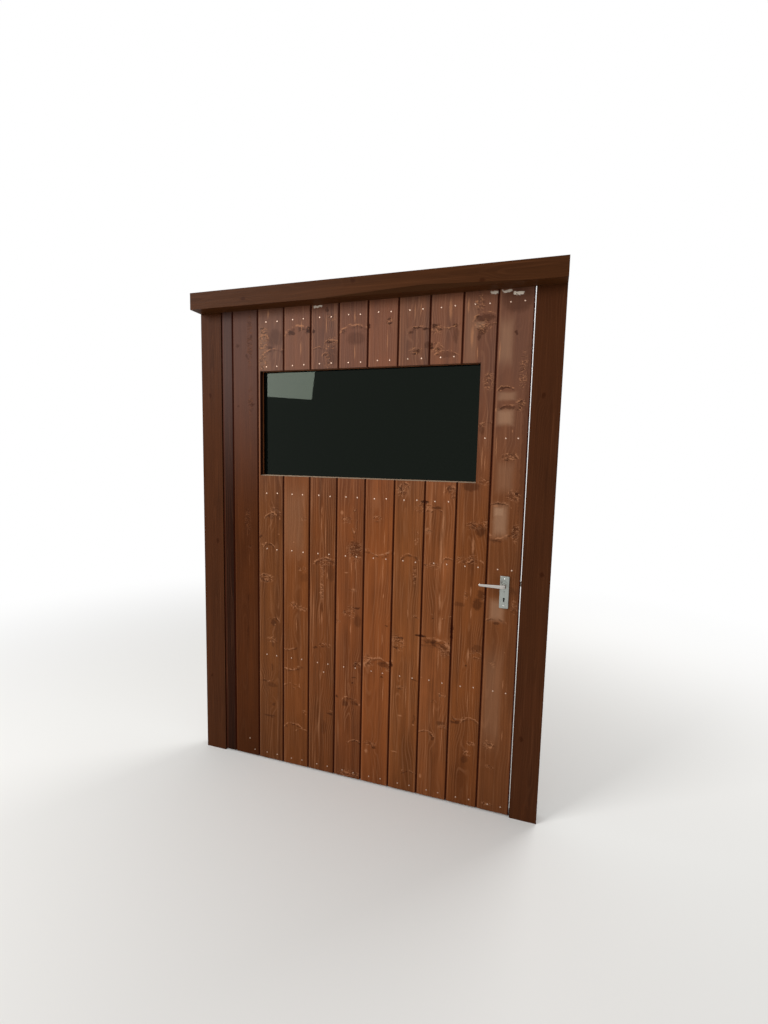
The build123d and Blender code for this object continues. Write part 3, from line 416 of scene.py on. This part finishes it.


# What is seen on each board, in mm from its left joint and above the floor, with half width and half
# height: knots with their darkness, torn curls beside them, strokes where the planer met sloping grain
# (over the place, or under it with a minus), pale streaks, patches worn thin and painted pale as sheen,
# with their paleness, and flakes of bare wood
MARKS = {
    1: {
        "knots": ((32, 2178, 12, 9, 0.4), (85, 2126, 8, 10, 0.4), (108, 2216, 8, 10, 0.4),
            (115, 1890, 12, 8, 0.4), (82, 700, 7, 34, 0.3), (85, 885, 6, 26, 0.3),
            (32, 1880, 10, 6, 0.4)),
        "curls": ((100, 2190, 12, 120), (105, 1900, 12, 60), (84, 1290, 14, 60),
            (98, 1151, 14, 12)),
        "streaks": ((92, 1090, 3, 55), (103, 1660, 3, 70), (80, 1230, 3, 30)),
    },
    2: {
        "knots": ((100, 2205, 44, 44, 0.3), (72, 2160, 16, 9, 0.45), (28, 2255, 14, 4, 0.7),
            (88, 768, 17, 22, 0.45), (50, 985, 24, 6, 0.6), (14, 1218, 10, 11, 0.5),
            (75, 1322, 16, 16, 0.4), (32, 442, 17, 4, 0.6), (82, 425, 34, 14, 0.3),
            (84, 655, 9, 22, 0.3), (82, 525, 6, 22, 0.3), (90, 320, 11, 10, 0.4),
            (66, 252, 42, 7, 0.4)),
        "curls": ((36, 2205, 22, 52), (32, 2090, 22, 36), (40, 1000, 40, 20), (80, 675, 22, 14),
            (100, 1345, 26, 22)),
        "strokes": ((100, 2118, 60, 30), (62, 1150, 32, 28), (55, 455, 30, -18), (90, 770, 30, 24),
            (80, 1305, 36, 32), (36, 990, 36, 26), (34, 2200, 24, 18), (32, 2170, 24, -16)),
        "streaks": ((118, 1235, 9, 2.5), (24, 1176, 12, 4), (98, 757, 5, 5), (74, 1300, 3, 90),
            (60, 2320, 6, 30)),
        "patches": ((28, 2150, 24, 100, 0.12), (46, 2090, 20, 40, 0.12)),
    },
    3: {
        "knots": ((44, 2222, 22, 12, 0.6), (136, 2234, 14, 15, 0.85), (60, 876, 11, 8, 0.45),
            (90, 700, 12, 280, 0.18), (88, 2238, 10, 14, 0.4), (118, 1022, 24, 26, 0.2)),
        "curls": ((112, 1326, 16, 10), (108, 1066, 22, 12), (58, 874, 20, 16), (110, 862, 24, 12),
            (62, 532, 10, 8), (64, 430, 8, 6), (128, 310, 14, 8)),
        "strokes": ((80, 2200, 62, 46), (15, 658, 62, -30), (20, 556, 90, -34), (50, 430, 42, 20),
            (60, 204, 46, 28), (112, 196, 30, 16)),
        "streaks": ((97, 2252, 4, 34), (94, 2150, 4, 50), (75, 770, 3, 50), (60, 1200, 6, 4),
            (93, 450, 3, 14)),
        "patches": ((60, 1300, 60, 160, 0.12),),
    },
    4: {
        "knots": ((84, 2318, 12, 11, 0.5), (36, 668, 13, 7, 0.5), (120, 1060, 22, 50, 0.28),
            (118, 2110, 28, 52, 0.25), (98, 2170, 18, 6, 0.55), (86, 2112, 14, 6, 0.5),
            (80, 676, 10, 6, 0.4), (120, 328, 22, 5, 0.5), (72, 880, 9, 32, 0.25),
            (16, 2225, 7, 8, 0.7), (92, 250, 16, 44, 0.22)),
        "curls": ((112, 2285, 20, 16), (108, 2168, 28, 20), (92, 2090, 16, 30), (90, 687, 28, 12),
            (70, 965, 9, 50), (74, 1090, 14, 40), (112, 1112, 30, 16)),
        "strokes": ((110, 2148, 36, 26), (46, 2128, 38, 20), (92, 1090, 56, 38),
            (94, 2104, 30, 16)),
        "streaks": ((83, 2250, 4, 58), (68, 1370, 4, 30), (88, 1240, 3, 110), (100, 1046, 4, 24),
            (58, 840, 3, 80), (73, 830, 4, 42), (84, 541, 6, 3), (130, 346, 12, 3),
            (66, 1300, 3, 60)),
        "flakes": ((37, 2337, 23, 4),),
    },
    5: {
        "knots": ((88, 2180, 52, 34, 0.28), (100, 1190, 34, 44, 0.4), (110, 900, 26, 4, 0.6),
            (118, 835, 24, 34, 0.3), (110, 611, 10, 17, 0.5), (48, 875, 7, 5, 0.5),
            (105, 541, 16, 4, 0.45), (98, 515, 5, 4, 0.6), (14, 430, 8, 6, 0.6),
            (60, 399, 18, 16, 0.4), (72, 190, 5, 4, 0.6), (108, 410, 20, 12, 0.3)),
        "curls": ((55, 1330, 24, 14), (100, 1180, 34, 40), (86, 880, 18, 30), (50, 868, 9, 12),
            (92, 986, 16, 10), (16, 820, 14, 8), (84, 32, 50, 16), (120, 615, 18, 14)),
        "strokes": ((80, 2196, 66, 38), (95, 1402, 10, -26), (95, 1345, 14, -92), (86, 394, 44, 36),
            (116, 192, 32, 20), (20, 806, 20, 14)),
        "streaks": ((80, 2275, 5, 32), (83, 1100, 3, 50), (103, 1112, 3, 42), (56, 1070, 14, 4),
            (83, 790, 4, 36), (82, 2120, 4, 50), (30, 1365, 12, 14)),
    },
    6: {
        "knots": ((103, 2256, 10, 6, 0.5), (104, 2237, 10, 6, 0.55), (4, 2232, 8, 15, 0.8),
            (112, 634, 36, 17, 0.4), (122, 830, 11, 4, 0.5), (104, 568, 12, 5, 0.5),
            (72, 198, 11, 8, 0.5), (144, 640, 5, 22, 0.8)),
        "curls": ((103, 2247, 14, 16), (64, 1346, 16, 12), (30, 640, 26, 26), (122, 612, 24, 10),
            (52, 214, 28, 10)),
        "strokes": ((82, 602, 60, 50), (78, 1206, 72, -42), (130, 1172, 22, 14)),
        "streaks": ((103, 1250, 3, 60), (98, 1100, 3, 90), (103, 974, 4, 16), (102, 760, 3, 40),
            (112, 500, 3, 76), (12, 622, 7, 24), (9, 1192, 5, 10), (95, 2160, 3, 60),
            (30, 172, 12, 14)),
    },
    7: {
        "knots": ((84, 2208, 22, 4, 0.6), (126, 2203, 18, 5, 0.55), (60, 2192, 12, 7, 0.4),
            (88, 2106, 17, 13, 0.55), (134, 2136, 18, 16, 0.35), (35, 1486, 14, 18, 0.45),
            (142, 1436, 16, 7, 0.85), (42, 780, 26, 5, 0.65), (28, 728, 15, 5, 0.6),
            (138, 803, 24, 6, 0.8), (125, 887, 9, 4, 0.6), (3, 644, 10, 14, 0.8),
            (122, 580, 17, 4, 0.45), (52, 528, 12, 4, 0.5), (126, 380, 5, 30, 0.3)),
        "curls": ((84, 2112, 26, 16), (35, 1486, 22, 24), (125, 1412, 20, 22), (36, 752, 28, 34),
            (114, 1265, 8, 26), (108, 1090, 8, 40), (118, 892, 16, 8), (54, 536, 18, 10)),
        "strokes": ((98, 2186, 48, 24), (50, 1486, 24, 30), (82, 1154, 38, 30), (112, 92, 40, 22)),
        "streaks": ((5, 1186, 5, 10), (9, 660, 6, 7), (82, 500, 3, 84), (55, 390, 16, 7),
            (76, 2280, 3, 50), (102, 2290, 3, 40), (30, 200, 24, 4), (124, 356, 8, 5),
            (80, 905, 3, 30)),
    },
    8: {
        "knots": ((20, 2212, 15, 11, 0.65), (40, 2198, 16, 5, 0.6), (112, 2215, 14, 8, 0.6),
            (6, 2128, 12, 17, 0.7), (34, 2115, 14, 5, 0.6), (76, 2086, 44, 14, 0.22),
            (116, 2170, 16, 40, 0.3), (56, 1412, 26, 8, 0.5), (2, 1436, 22, 7, 0.85),
            (112, 1500, 12, 20, 0.5), (2, 803, 28, 6, 0.8), (66, 776, 15, 18, 0.45),
            (58, 898, 6, 4, 0.6), (104, 525, 7, 5, 0.5), (26, 1304, 8, 5, 0.45),
            (144, 850, 6, 60, 0.8), (110, 388, 22, 13, 0.4), (75, 308, 11, 13, 0.4),
            (12, 1145, 14, 4, 0.6)),
        "curls": ((30, 2200, 26, 18), (30, 2120, 28, 18), (16, 1412, 22, 18), (128, 1485, 16, 26),
            (120, 758, 30, 34), (40, 1142, 34, 12), (112, 530, 20, 10), (118, 374, 20, 10),
            (75, 492, 12, 5), (22, 1304, 18, 10)),
        "strokes": ((72, 2222, 58, -24), (76, 2082, 44, 20), (48, 694, 100, 88),
            (118, 1478, 24, 30), (118, 1158, 26, 24), (60, 1388, 28, 14), (36, 316, 34, 20),
            (140, 892, 34, 18)),
        "streaks": ((89, 2280, 10, 66), (84, 1200, 8, 110), (90, 1340, 5, 70), (85, 980, 7, 56),
            (90, 862, 11, 62), (88, 700, 3, 80), (75, 450, 3, 50), (88, 1490, 4, 40),
            (10, 600, 8, 3), (20, 106, 10, 14)),
    },
    9: {
        "knots": ((96, 2232, 42, 15, 0.42), (82, 2180, 20, 20, 0.45), (70, 2155, 9, 15, 0.45),
            (60, 1515, 42, 24, 0.42), (112, 1318, 24, 30, 0.5), (80, 1335, 16, 14, 0.35),
            (126, 1030, 20, 26, 0.42), (110, 985, 24, 32, 0.5), (30, 976, 30, 13, 0.3),
            (116, 778, 26, 22, 0.3), (72, 690, 6, 8, 0.5), (2, 850, 6, 60, 0.8),
            (32, 410, 24, 9, 0.5), (98, 1762, 14, 22, 0.3), (82, 236, 18, 18, 0.3),
            (58, 2240, 6, 12, 0.5)),
        "curls": ((70, 2300, 18, 30), (84, 2200, 30, 22), (80, 1340, 28, 16), (130, 1350, 16, 18),
            (60, 1020, 9, 18), (114, 748, 26, 18), (30, 1180, 24, 16), (84, 1186, 18, 20),
            (118, 1540, 24, 12), (100, 1780, 14, 8), (92, 270, 16, 14), (110, 320, 18, 10),
            (120, 1970, 20, 30), (140, 1010, 8, 22)),
        "strokes": ((96, 1154, 36, 28), (100, 408, 36, 30), (44, 444, 28, -26), (96, 2216, 46, 36),
            (120, 2196, 40, 12), (122, 1776, 30, 20)),
        "streaks": ((82, 1250, 8, 52), (80, 1040, 4, 32), (85, 940, 4, 36), (80, 742, 6, 42),
            (86, 510, 3, 80), (20, 2290, 6, 44), (104, 1640, 4, 70), (118, 1620, 3, 50),
            (66, 2090, 4, 40), (40, 2160, 9, 60)),
        "patches": ((36, 2160, 22, 120, 0.15), (70, 2206, 20, 14, 0.3)),
        "flakes": ((128, 2334, 15, 6),),
    },
    10: {
        "knots": ((80, 2164, 8, 10, 0.5), (45, 1942, 28, 7, 0.5), (56, 1857, 40, 7, 0.4),
            (112, 1870, 14, 17, 0.4), (44, 1443, 30, 4, 0.65), (114, 1490, 9, 9, 0.5),
            (68, 1636, 16, 8, 0.45), (134, 1500, 14, 760, 0.25), (52, 908, 16, 6, 0.45),
            (80, 2300, 74, 60, 0.35), (112, 1320, 14, 30, 0.3), (134, 700, 30, 260, 0.2)),
        "curls": ((114, 2010, 14, 60), (112, 1868, 18, 22), (100, 1480, 24, 22), (80, 1648, 30, 14),
            (116, 1320, 14, 34), (126, 990, 12, 26), (45, 716, 14, 12), (46, 332, 24, 18),
            (50, 40, 22, 8), (52, 224, 16, 8)),
        "strokes": ((44, 1424, 42, 22), (40, 1336, 62, -56), (74, 1638, 34, 20), (48, 1926, 34, 18),
            (60, 1842, 44, 22), (50, 908, 40, 22)),
        "streaks": ((25, 1434, 15, 4), (80, 1640, 12, 6), (25, 1930, 7, 4), (95, 630, 3, 30),
            (102, 386, 3, 32), (96, 778, 4, 3), (82, 1758, 4, 8), (18, 1690, 3, 70),
            (14, 2090, 4, 60)),
        "patches": ((48, 1370, 28, 64, 0.4), (42, 1408, 22, 20, 0.56), (48, 1816, 32, 30, 0.42),
            (52, 1905, 34, 16, 0.3), (38, 2130, 26, 84, 0.26), (52, 968, 30, 44, 0.35),
            (60, 1560, 34, 60, 0.15), (50, 560, 36, 200, 0.15)),
        "flakes": ((34, 2335, 20, 7), (82, 2324, 22, 5)),
    },
}
# Stain on each board as it took it, from the hinge strip on: light, dark, and how much the grain shows.
# The tones of the strip and the first board are painted darker, as shade.
TONES = [
    ("#2E150A", "#1B0D07", 0.6), ("#532A11", "#351909", 0.6), ("#6E3F1E", "#472510", 0.9),
    ("#7C4520", "#4F2A11", 0.6), ("#774220", "#4C2811", 1.0), ("#7C4523", "#4F2812", 1.0),
    ("#8A4D26", "#5A2E14", 0.8), ("#824B26", "#532D14", 1.0), ("#894F2A", "#582F15", 1.0),
    ("#7E4722", "#502911", 0.9), ("#7A4726", "#4F2A13", 0.5),
]
# Where the trunk's heart lay from each board's middle: across, and behind the face, in mm
PITHS = [(40, 60), (-16, 30), (30, 48), (20, 30), (-10, 26), (6, 22), (-34, 52), (-12, 40), (14, 30),
         (8, 28), (-46, 60)]
# Trunks taper, and neighbouring boards may stand with their root end up or down
ROOT_DOWN, ROOT_UP = 0.012, -0.009

for number in range(BOARD_COUNT + 1):
    # The strip and the first board are painted darker, as shade, and their film is duller
    board_in_painted_shade = number < 2
    prefix = f"board_{number:02d}" if number else "board_hinge_strip"
    half = (BOARD_COVER_MM if number else STRIP_COVER_MM) / 2
    for part, name in enumerate(sorted(n for n in nodes if n.startswith(prefix))):
        low, high = (corner.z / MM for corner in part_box(name))
        marks = {key: [(x - half, z, across, along, *strength)
                       for x, z, across, along, *strength in MARKS.get(number, NO_MARKS).get(key, ())
                       if low - abs(along) < z < high + abs(along)] for key in NO_MARKS}
        light, dark, contrast = TONES[number]
        dress(stained_spruce(
            f"stained_spruce_{name}", (left_joint_mm(number) + half, FACE_Y_MM, 0), light, dark,
            width=2 * half, seed=number + 17 * part + 1, pith=PITHS[number],
            taper=ROOT_DOWN if number % 2 else ROOT_UP, streak=STREAK_IN_PAINTED_SHADE if board_in_painted_shade else PALE_STAIN_AND_HIGHLIGHT,
            contrast=contrast, gloss=DULL_GLOSS if board_in_painted_shade else SATIN_GLOSS, marks=marks), name)


# Framework, posts and beam: planed spruce under the same stain, the frame's duller. Posts and beam are
# painted darker, as shade, with darker lines.
FRAMEWORK_TONES = ("#8F5633", "#5E351C")
POST_TONES_PAINTED_SHADE = ("#4C2915", "#31190C")
BEAM_TONES_PAINTED_SHADE = ("#4B2A14", "#341C0D")
ALONG_X = math.pi / 2
# The brace rises by this angle from the hinge side
BRACE_TURN = math.radians(33.7 - 90)
# Three knots on each long piece: across in mm, and along it as a share of its reach
TIMBER_KNOTS = ((-24, -0.8), (24, 0.0), (-9.6, 0.8))
TIMBER_KNOT = (10, 13.5, 0.5)
for index, name in enumerate(sorted(n for n in nodes if n.startswith(
        ("rail_", "bead_", "head_", "post_", "stile_", "brace_")))):
    kind = name.split("_")[0]
    low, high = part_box(name)
    turn = {"rail": ALONG_X, "head": ALONG_X, "brace": BRACE_TURN}.get(kind, 0.0)
    if name in ("bead_top", "bead_bottom"):
        turn = ALONG_X
    knots = []
    if kind not in ("bead", "brace"):
        reach = 0.4 * max(high - low) / MM
        stagger = 0.37 * index % 0.4 - 0.2
        knots = [(across, (share + stagger) * reach, *TIMBER_KNOT) for across, share in TIMBER_KNOTS]
    # Posts and beam: painted darker as shade, with darker lines and a duller film
    frame_in_painted_shade = kind in ("post", "head")
    tones = {"post": POST_TONES_PAINTED_SHADE, "head": BEAM_TONES_PAINTED_SHADE}.get(kind, FRAMEWORK_TONES)
    dress(stained_spruce(
        f"stained_spruce_{name}", (low + high) / 2 / MM, *tones, turn=turn, seed=31 + index,
        pith=(14, 46), streak=STREAK_IN_PAINTED_SHADE if frame_in_painted_shade else PALE_STAIN_AND_HIGHLIGHT, contrast=0.6,
        gloss=DULL_GLOSS if frame_in_painted_shade else SATIN_GLOSS, marks=NO_MARKS | {"knots": knots},
        end_axis=2 if turn == 0 else 0), name)


# Float glass, almost black through it: its dark base colour is painted shade of the darkness behind it,
# and the green tint of the clear mirror on its face is a painted reflection
glass, tree = new_material("float_glass_painted_shade")
shader = add(tree, "BsdfPrincipled", {
    "Base Color": colour("#060908"), "Roughness": 0.012, "IOR": 1.5, "Specular Tint": colour("#7F8A7B"),
    "Specular IOR Level": 0.3, "Transmission Weight": 0.9})
add(tree, "OutputMaterial", {"Surface": shader})
dress(glass, "glass_pane")

# Metals: two colours, the range of roughness, and the size of their texture in mm
METALS = {
    # Die-cast aluminium, ground and anodised: pale grey satin with soft wide highlights
    "anodised_aluminium": ("#B3B7B2", "#999D98", 0.26, 0.42, (8, 8, 20)),
    # Die-cast aluminium, polished before it was anodised: brighter, with narrower highlights
    "polished_aluminium": ("#D2CCC6", "#BDB8B3", 0.16, 0.28, (8, 8, 20)),
    # Hot-dip galvanised steel: dull zinc, its crystals about 12 mm across
    "hot_dip_galvanised_steel": ("#85898B", "#A9ADAE", 0.44, 0.62, (12, 12, 12)),
    # Steel, bright zinc plated and passivated: cool silver with a faint yellow cast
    "zinc_plated_steel": ("#C9CACB", "#B9B49F", 0.22, 0.4, (10, 10, 10)),
    # Screws, polished and nickel plated: the brightest points of the handle
    "nickel_plated_steel": ("#CFCECB", "#BDBBB6", 0.16, 0.28, (6, 6, 6)),
    # Wire nails, galvanised, their heads dulled and warmed by stain and weather
    "galvanised_nail_steel": ("#D8BCA8", "#BDA08B", 0.42, 0.62, (9, 9, 9)),
}
metals = {}
for name, (first, second, smooth, rough, grain) in METALS.items():
    metals[name], tree = new_material(name)
    mapped = add(tree, "Mapping", [add(tree, "TexCoord", out="Object"), (0, 0, 0), (0, 0, 0),
                                   tuple(1 / MM / size for size in grain)])
    if name == "hot_dip_galvanised_steel":
        crystals = add(tree, "TexVoronoi", {"Vector": mapped, "Scale": 1.0}, "Color")
        texture = add(tree, "SeparateColor", [crystals])
    else:
        texture = add(tree, "TexNoise", {"Vector": mapped, "Scale": 1.0, "Detail": 3.0})
    tint = add(tree, "Mix", {0: texture, 6: colour(first), 7: colour(second)}, 2, data_type="RGBA")
    polish = add(tree, "MapRange", [texture, 0, 1, smooth, rough])
    shader = add(tree, "BsdfPrincipled", {"Base Color": tint, "Metallic": 1.0, "Roughness": polish})
    add(tree, "OutputMaterial", {"Surface": shader})
dress(metals["anodised_aluminium"], "plate_outer", "plate_inner")
dress(metals["polished_aluminium"], "lever_outer", "lever_inner")
dress(metals["hot_dip_galvanised_steel"],
      *(n for n in nodes if n.startswith(("strap_", "pintle_")) and "screws" not in n))
dress(metals["zinc_plated_steel"], "frame_screws", "strap_screws", "pintle_screws", "forend_screws",
      "strike_screws", "strike_plate", "lock_case", "follower", "latch_bolt", "dead_bolt", "spindle")


def pick_faces(piece, wanted):
    """Enters edit mode with only the faces selected that a test accepts."""
    bpy.ops.object.mode_set(mode="EDIT")
    bpy.ops.mesh.select_mode(type="FACE")
    bpy.ops.mesh.select_all(action="DESELECT")
    bpy.ops.object.mode_set(mode="OBJECT")
    for face in piece.data.polygons:
        face.select = wanted(face)
    bpy.ops.object.mode_set(mode="EDIT")


def copies(model, places):
    """Copies of a small piece, each with its own mesh, moved to places in metres. The model goes."""
    made = []
    for place in places:
        twin = model.copy()
        twin.data = model.data.copy()
        twin.data.transform(Matrix.Translation(place))
        bpy.context.scene.collection.objects.link(twin)
        made.append(twin)
    bpy.data.objects.remove(model)
    return made


def gather(pieces, name, material):
    """Joins pieces into one that rides on the leaf."""
    bpy.ops.object.select_all(action="DESELECT")
    for piece in pieces:
        piece.select_set(True)
    bpy.context.view_layer.objects.active = pieces[0]
    bpy.ops.object.join()
    whole = bpy.context.object
    whole.name = name
    whole.data.materials.clear()
    whole.data.materials.append(material)
    bpy.ops.object.select_all(action="DESELECT")
    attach(whole, "leaf")
    return whole


# Nails: round heads, slightly domed, driven flush with the boards' face
NAIL_HEAD_R_MM = 3.1
NAIL_HEAD_T_MM = 1.1
NAIL_HEAD_SIDES = 14
# Two steps towards the middle raise the dome: how far in, and how far up, as shares of R and T
NAIL_DOME = ((0.35, 0.3), (0.35, 0.12))
NAIL_ACROSS_MM = (50, 110)
NAIL_STRAY_MM = (2.5, 2)
# Each row: its height in mm at the hinges, and how far it rises from board to board
NAIL_ROWS = {"head": (2283, 1.0), "over_window": (2066, 1.5), "sill": (1441, 0.0), "lock": (1153, 0.2),
             "lower": (591, 0.0), "foot": (40, 0.0)}
NOT_NAILED = {("over_window", 9), ("over_window", 10), ("sill", 9), ("sill", 10)}
# Nails out of line: the board, then mm from its left joint and above the floor
SINGLE_NAILS = ((9, 114, 1727), (10, 56, 1727), (10, 108, 1727), (4, 86, 545), (1, 88, 99),
                (1, 119, 41))


def nail_head():
    """One head, its axis along Y and its seat at the origin."""
    bpy.ops.mesh.primitive_cylinder_add(
        vertices=NAIL_HEAD_SIDES, radius=NAIL_HEAD_R_MM * MM, depth=NAIL_HEAD_T_MM * MM,
        rotation=(math.pi / 2, 0, 0), location=(0, -NAIL_HEAD_T_MM * MM / 2, 0))
    head = bpy.context.object
    bpy.ops.object.transform_apply(location=True, rotation=True, scale=True)
    pick_faces(head, lambda face: face.normal.y < -0.9)
    for inwards, up in NAIL_DOME:
        bpy.ops.mesh.inset(thickness=NAIL_HEAD_R_MM * MM * inwards, depth=NAIL_HEAD_T_MM * MM * up)
    bpy.ops.object.mode_set(mode="OBJECT")
    bpy.ops.object.shade_smooth_by_angle(angle=math.radians(50))
    return head


def nail_places():
    """Two nails in each board at each rail, a little off line as they were driven, in mm."""
    draw = random.Random(7)
    for row, (height, rise) in NAIL_ROWS.items():
        for number in range(2, BOARD_COUNT + 1):
            if (row, number) in NOT_NAILED:
                continue
            for across in NAIL_ACROSS_MM:
                aside, up = (draw.uniform(-stray, stray) for stray in NAIL_STRAY_MM)
                yield left_joint_mm(number) + across + aside, height + rise * number + up
    for number, across, height in SINGLE_NAILS:
        yield left_joint_mm(number) + across, height


gather(copies(nail_head(), [(x * MM, FACE_Y_MM * MM, z * MM) for x, z in nail_places()]), "nail_heads",
       metals["galvanised_nail_steel"])


# Screws of the handle plates: domed heads with a cross recess
SCREW_HEAD_R_MM = 4
SCREW_HEAD_H_MM = 2
SCREW_SHANK_R_MM = 1.75
SCREW_L_MM = 16
SCREW_POINT_L_MM = 4
SCREW_POINT = 0.1
RECESS_L_MM = 4.4
RECESS_W_MM = 1.1
RECESS_DEEP_MM = 1.4


def plate_screw():
    """One screw along Y, its head's seat at the origin and its point towards +Y."""
    dome_r = (SCREW_HEAD_R_MM ** 2 + SCREW_HEAD_H_MM ** 2) / (2 * SCREW_HEAD_H_MM) * MM
    bpy.ops.mesh.primitive_uv_sphere_add(segments=32, ring_count=48, radius=dome_r,
                                         rotation=(math.pi / 2, 0, 0),
                                         location=(0, dome_r - SCREW_HEAD_H_MM * MM, 0))
    screw = bpy.context.object
    bpy.ops.object.transform_apply(location=True, rotation=True, scale=True)
    # Only the cap of the ball is kept, and its flat side drawn out to a shank with a point
    bpy.ops.object.mode_set(mode="EDIT")
    bpy.ops.mesh.select_all(action="SELECT")
    bpy.ops.mesh.bisect(plane_co=(0, 0, 0), plane_no=(0, 1, 0), use_fill=True, clear_outer=True)
    bpy.ops.object.mode_set(mode="OBJECT")
    pick_faces(screw, lambda face: face.normal.y > 0.9)
    bpy.ops.mesh.inset(thickness=(SCREW_HEAD_R_MM - SCREW_SHANK_R_MM) * MM, depth=0)
    for length in (SCREW_L_MM - SCREW_POINT_L_MM, SCREW_POINT_L_MM):
        bpy.ops.mesh.extrude_region_move(TRANSFORM_OT_translate={"value": (0, length * MM, 0)})
    bpy.ops.transform.resize(value=(SCREW_POINT, 1, SCREW_POINT))
    bpy.ops.object.mode_set(mode="OBJECT")
    for across, up in ((RECESS_L_MM, RECESS_W_MM), (RECESS_W_MM, RECESS_L_MM)):
        bpy.ops.mesh.primitive_cube_add(size=1, location=(0, -SCREW_HEAD_H_MM * MM, 0),
                                        scale=(across * MM, 2 * RECESS_DEEP_MM * MM, up * MM))
        cutter = bpy.context.object
        bpy.ops.object.select_all(action="DESELECT")
        bpy.context.view_layer.objects.active = screw
        cut = screw.modifiers.new("recess", "BOOLEAN")
        cut.operation, cut.object, cut.solver = "DIFFERENCE", cutter, "EXACT"
        bpy.ops.object.modifier_apply(modifier=cut.name)
        bpy.data.objects.remove(cutter)
    screw.select_set(True)
    bpy.ops.object.shade_smooth_by_angle(angle=math.radians(35))
    return screw


low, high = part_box("plate_screws")
middle = (low.x + high.x) / 2
heights = (low.z + SCREW_HEAD_R_MM * MM, high.z - SCREW_HEAD_R_MM * MM)
screws = []
for seat, half_turn in ((low.y + SCREW_HEAD_H_MM * MM, 0), (high.y - SCREW_HEAD_H_MM * MM, math.pi)):
    model = plate_screw()
    model.data.transform(Matrix.Rotation(half_turn, 4, "Z"))
    screws += copies(model, [(middle, seat, z) for z in heights])
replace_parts(gather(screws, "plate_screw_set", metals["nickel_plated_steel"]), "plate_screws")


# Floor: matt and pale with the door's shadow, and beyond it as white as the backdrop for the camera
FLOOR_SIZE = 40
WHITE_FROM, WHITE_TO = 1.4, 5.0
floor_material, tree = new_material("pale_floor")
far = add(tree, "VectorMath", [add(tree, "TexCoord", out="Object")], "Value", operation="LENGTH")
far = add(tree, "MapRange", [far, WHITE_FROM, WHITE_TO, 0, 1], interpolation_type="SMOOTHSTEP")
far = add(tree, "Math", [far, add(tree, "LightPath", out="Is Camera Ray")], operation="MULTIPLY")
matt = add(tree, "BsdfDiffuse", {"Color": colour("#ECEBE8")})
white = add(tree, "Emission", {"Color": (1, 1, 1, 1), "Strength": 1.0})
add(tree, "OutputMaterial", {"Surface": add(tree, "MixShader", [far, matt, white])})
bpy.ops.mesh.primitive_plane_add(size=FLOOR_SIZE, location=(0, 0, 0))
floor = bpy.context.object
floor.name = "floor"
floor.data.materials.append(floor_material)

# World: soft light on the object, and full white where the camera, metal or glass sees it
WORLD_LIGHT = 0.55
world = bpy.data.worlds.new("studio")
bpy.context.scene.world = world
world.use_nodes = True
tree = world.node_tree
tree.nodes.clear()
path = add(tree, "LightPath").node.outputs
direct = add(tree, "Math", [path["Is Camera Ray"], path["Is Glossy Ray"]], operation="MAXIMUM")
direct = add(tree, "Math", [direct, path["Is Transmission Ray"]], operation="MAXIMUM")
soft = add(tree, "Background", [(1, 1, 1, 1), WORLD_LIGHT])
bright = add(tree, "Background", [(1, 1, 1, 1), 1.0])
add(tree, "OutputWorld", {"Surface": add(tree, "MixShader", [direct, soft, bright])})


def panel(name, place, aim, size, power):
    """A soft light panel that looks at a point."""
    light = bpy.data.lights.new(name, "AREA")
    light.shape, light.size, light.energy = "SQUARE", size, power
    lamp = bpy.data.objects.new(name, light)
    lamp.location = place
    lamp.rotation_euler = (Vector(aim) - Vector(place)).to_track_quat("-Z", "Y").to_euler()
    bpy.context.scene.collection.objects.link(lamp)


panel("key", (-3.35, -3.9, 3.6), (0.1, 0, 1.2), 2.3, 205)
panel("back", (2.3, 3.6, 3.2), (0, 0, 1.2), 2.8, 100)

# Camera: where the photograph was taken from, and how it was held
EYE = (0.8458, -2.2022, 1.6246)
RIGHT = Vector((0.9487441, 0.3147738, 0.02252771))
UP = Vector((-0.05470631, 0.09370973, 0.99408829))
AHEAD = Vector((-0.3107916, 0.94439653, -0.10618751))
SENSOR_MM, LENS_MM = 36, 17.234
camera_data = bpy.data.cameras.new("camera")
camera_data.sensor_width = SENSOR_MM
camera_data.lens = LENS_MM
camera_data.clip_start = 0.05
camera = bpy.data.objects.new("camera", camera_data)
bpy.context.scene.collection.objects.link(camera)
camera.matrix_world = Matrix.Translation(EYE) @ Matrix((RIGHT, UP, -AHEAD)).transposed().to_4x4()
bpy.context.scene.camera = camera
bpy.context.scene.view_settings.view_transform = "Standard"

bpy.context.view_layer.update()
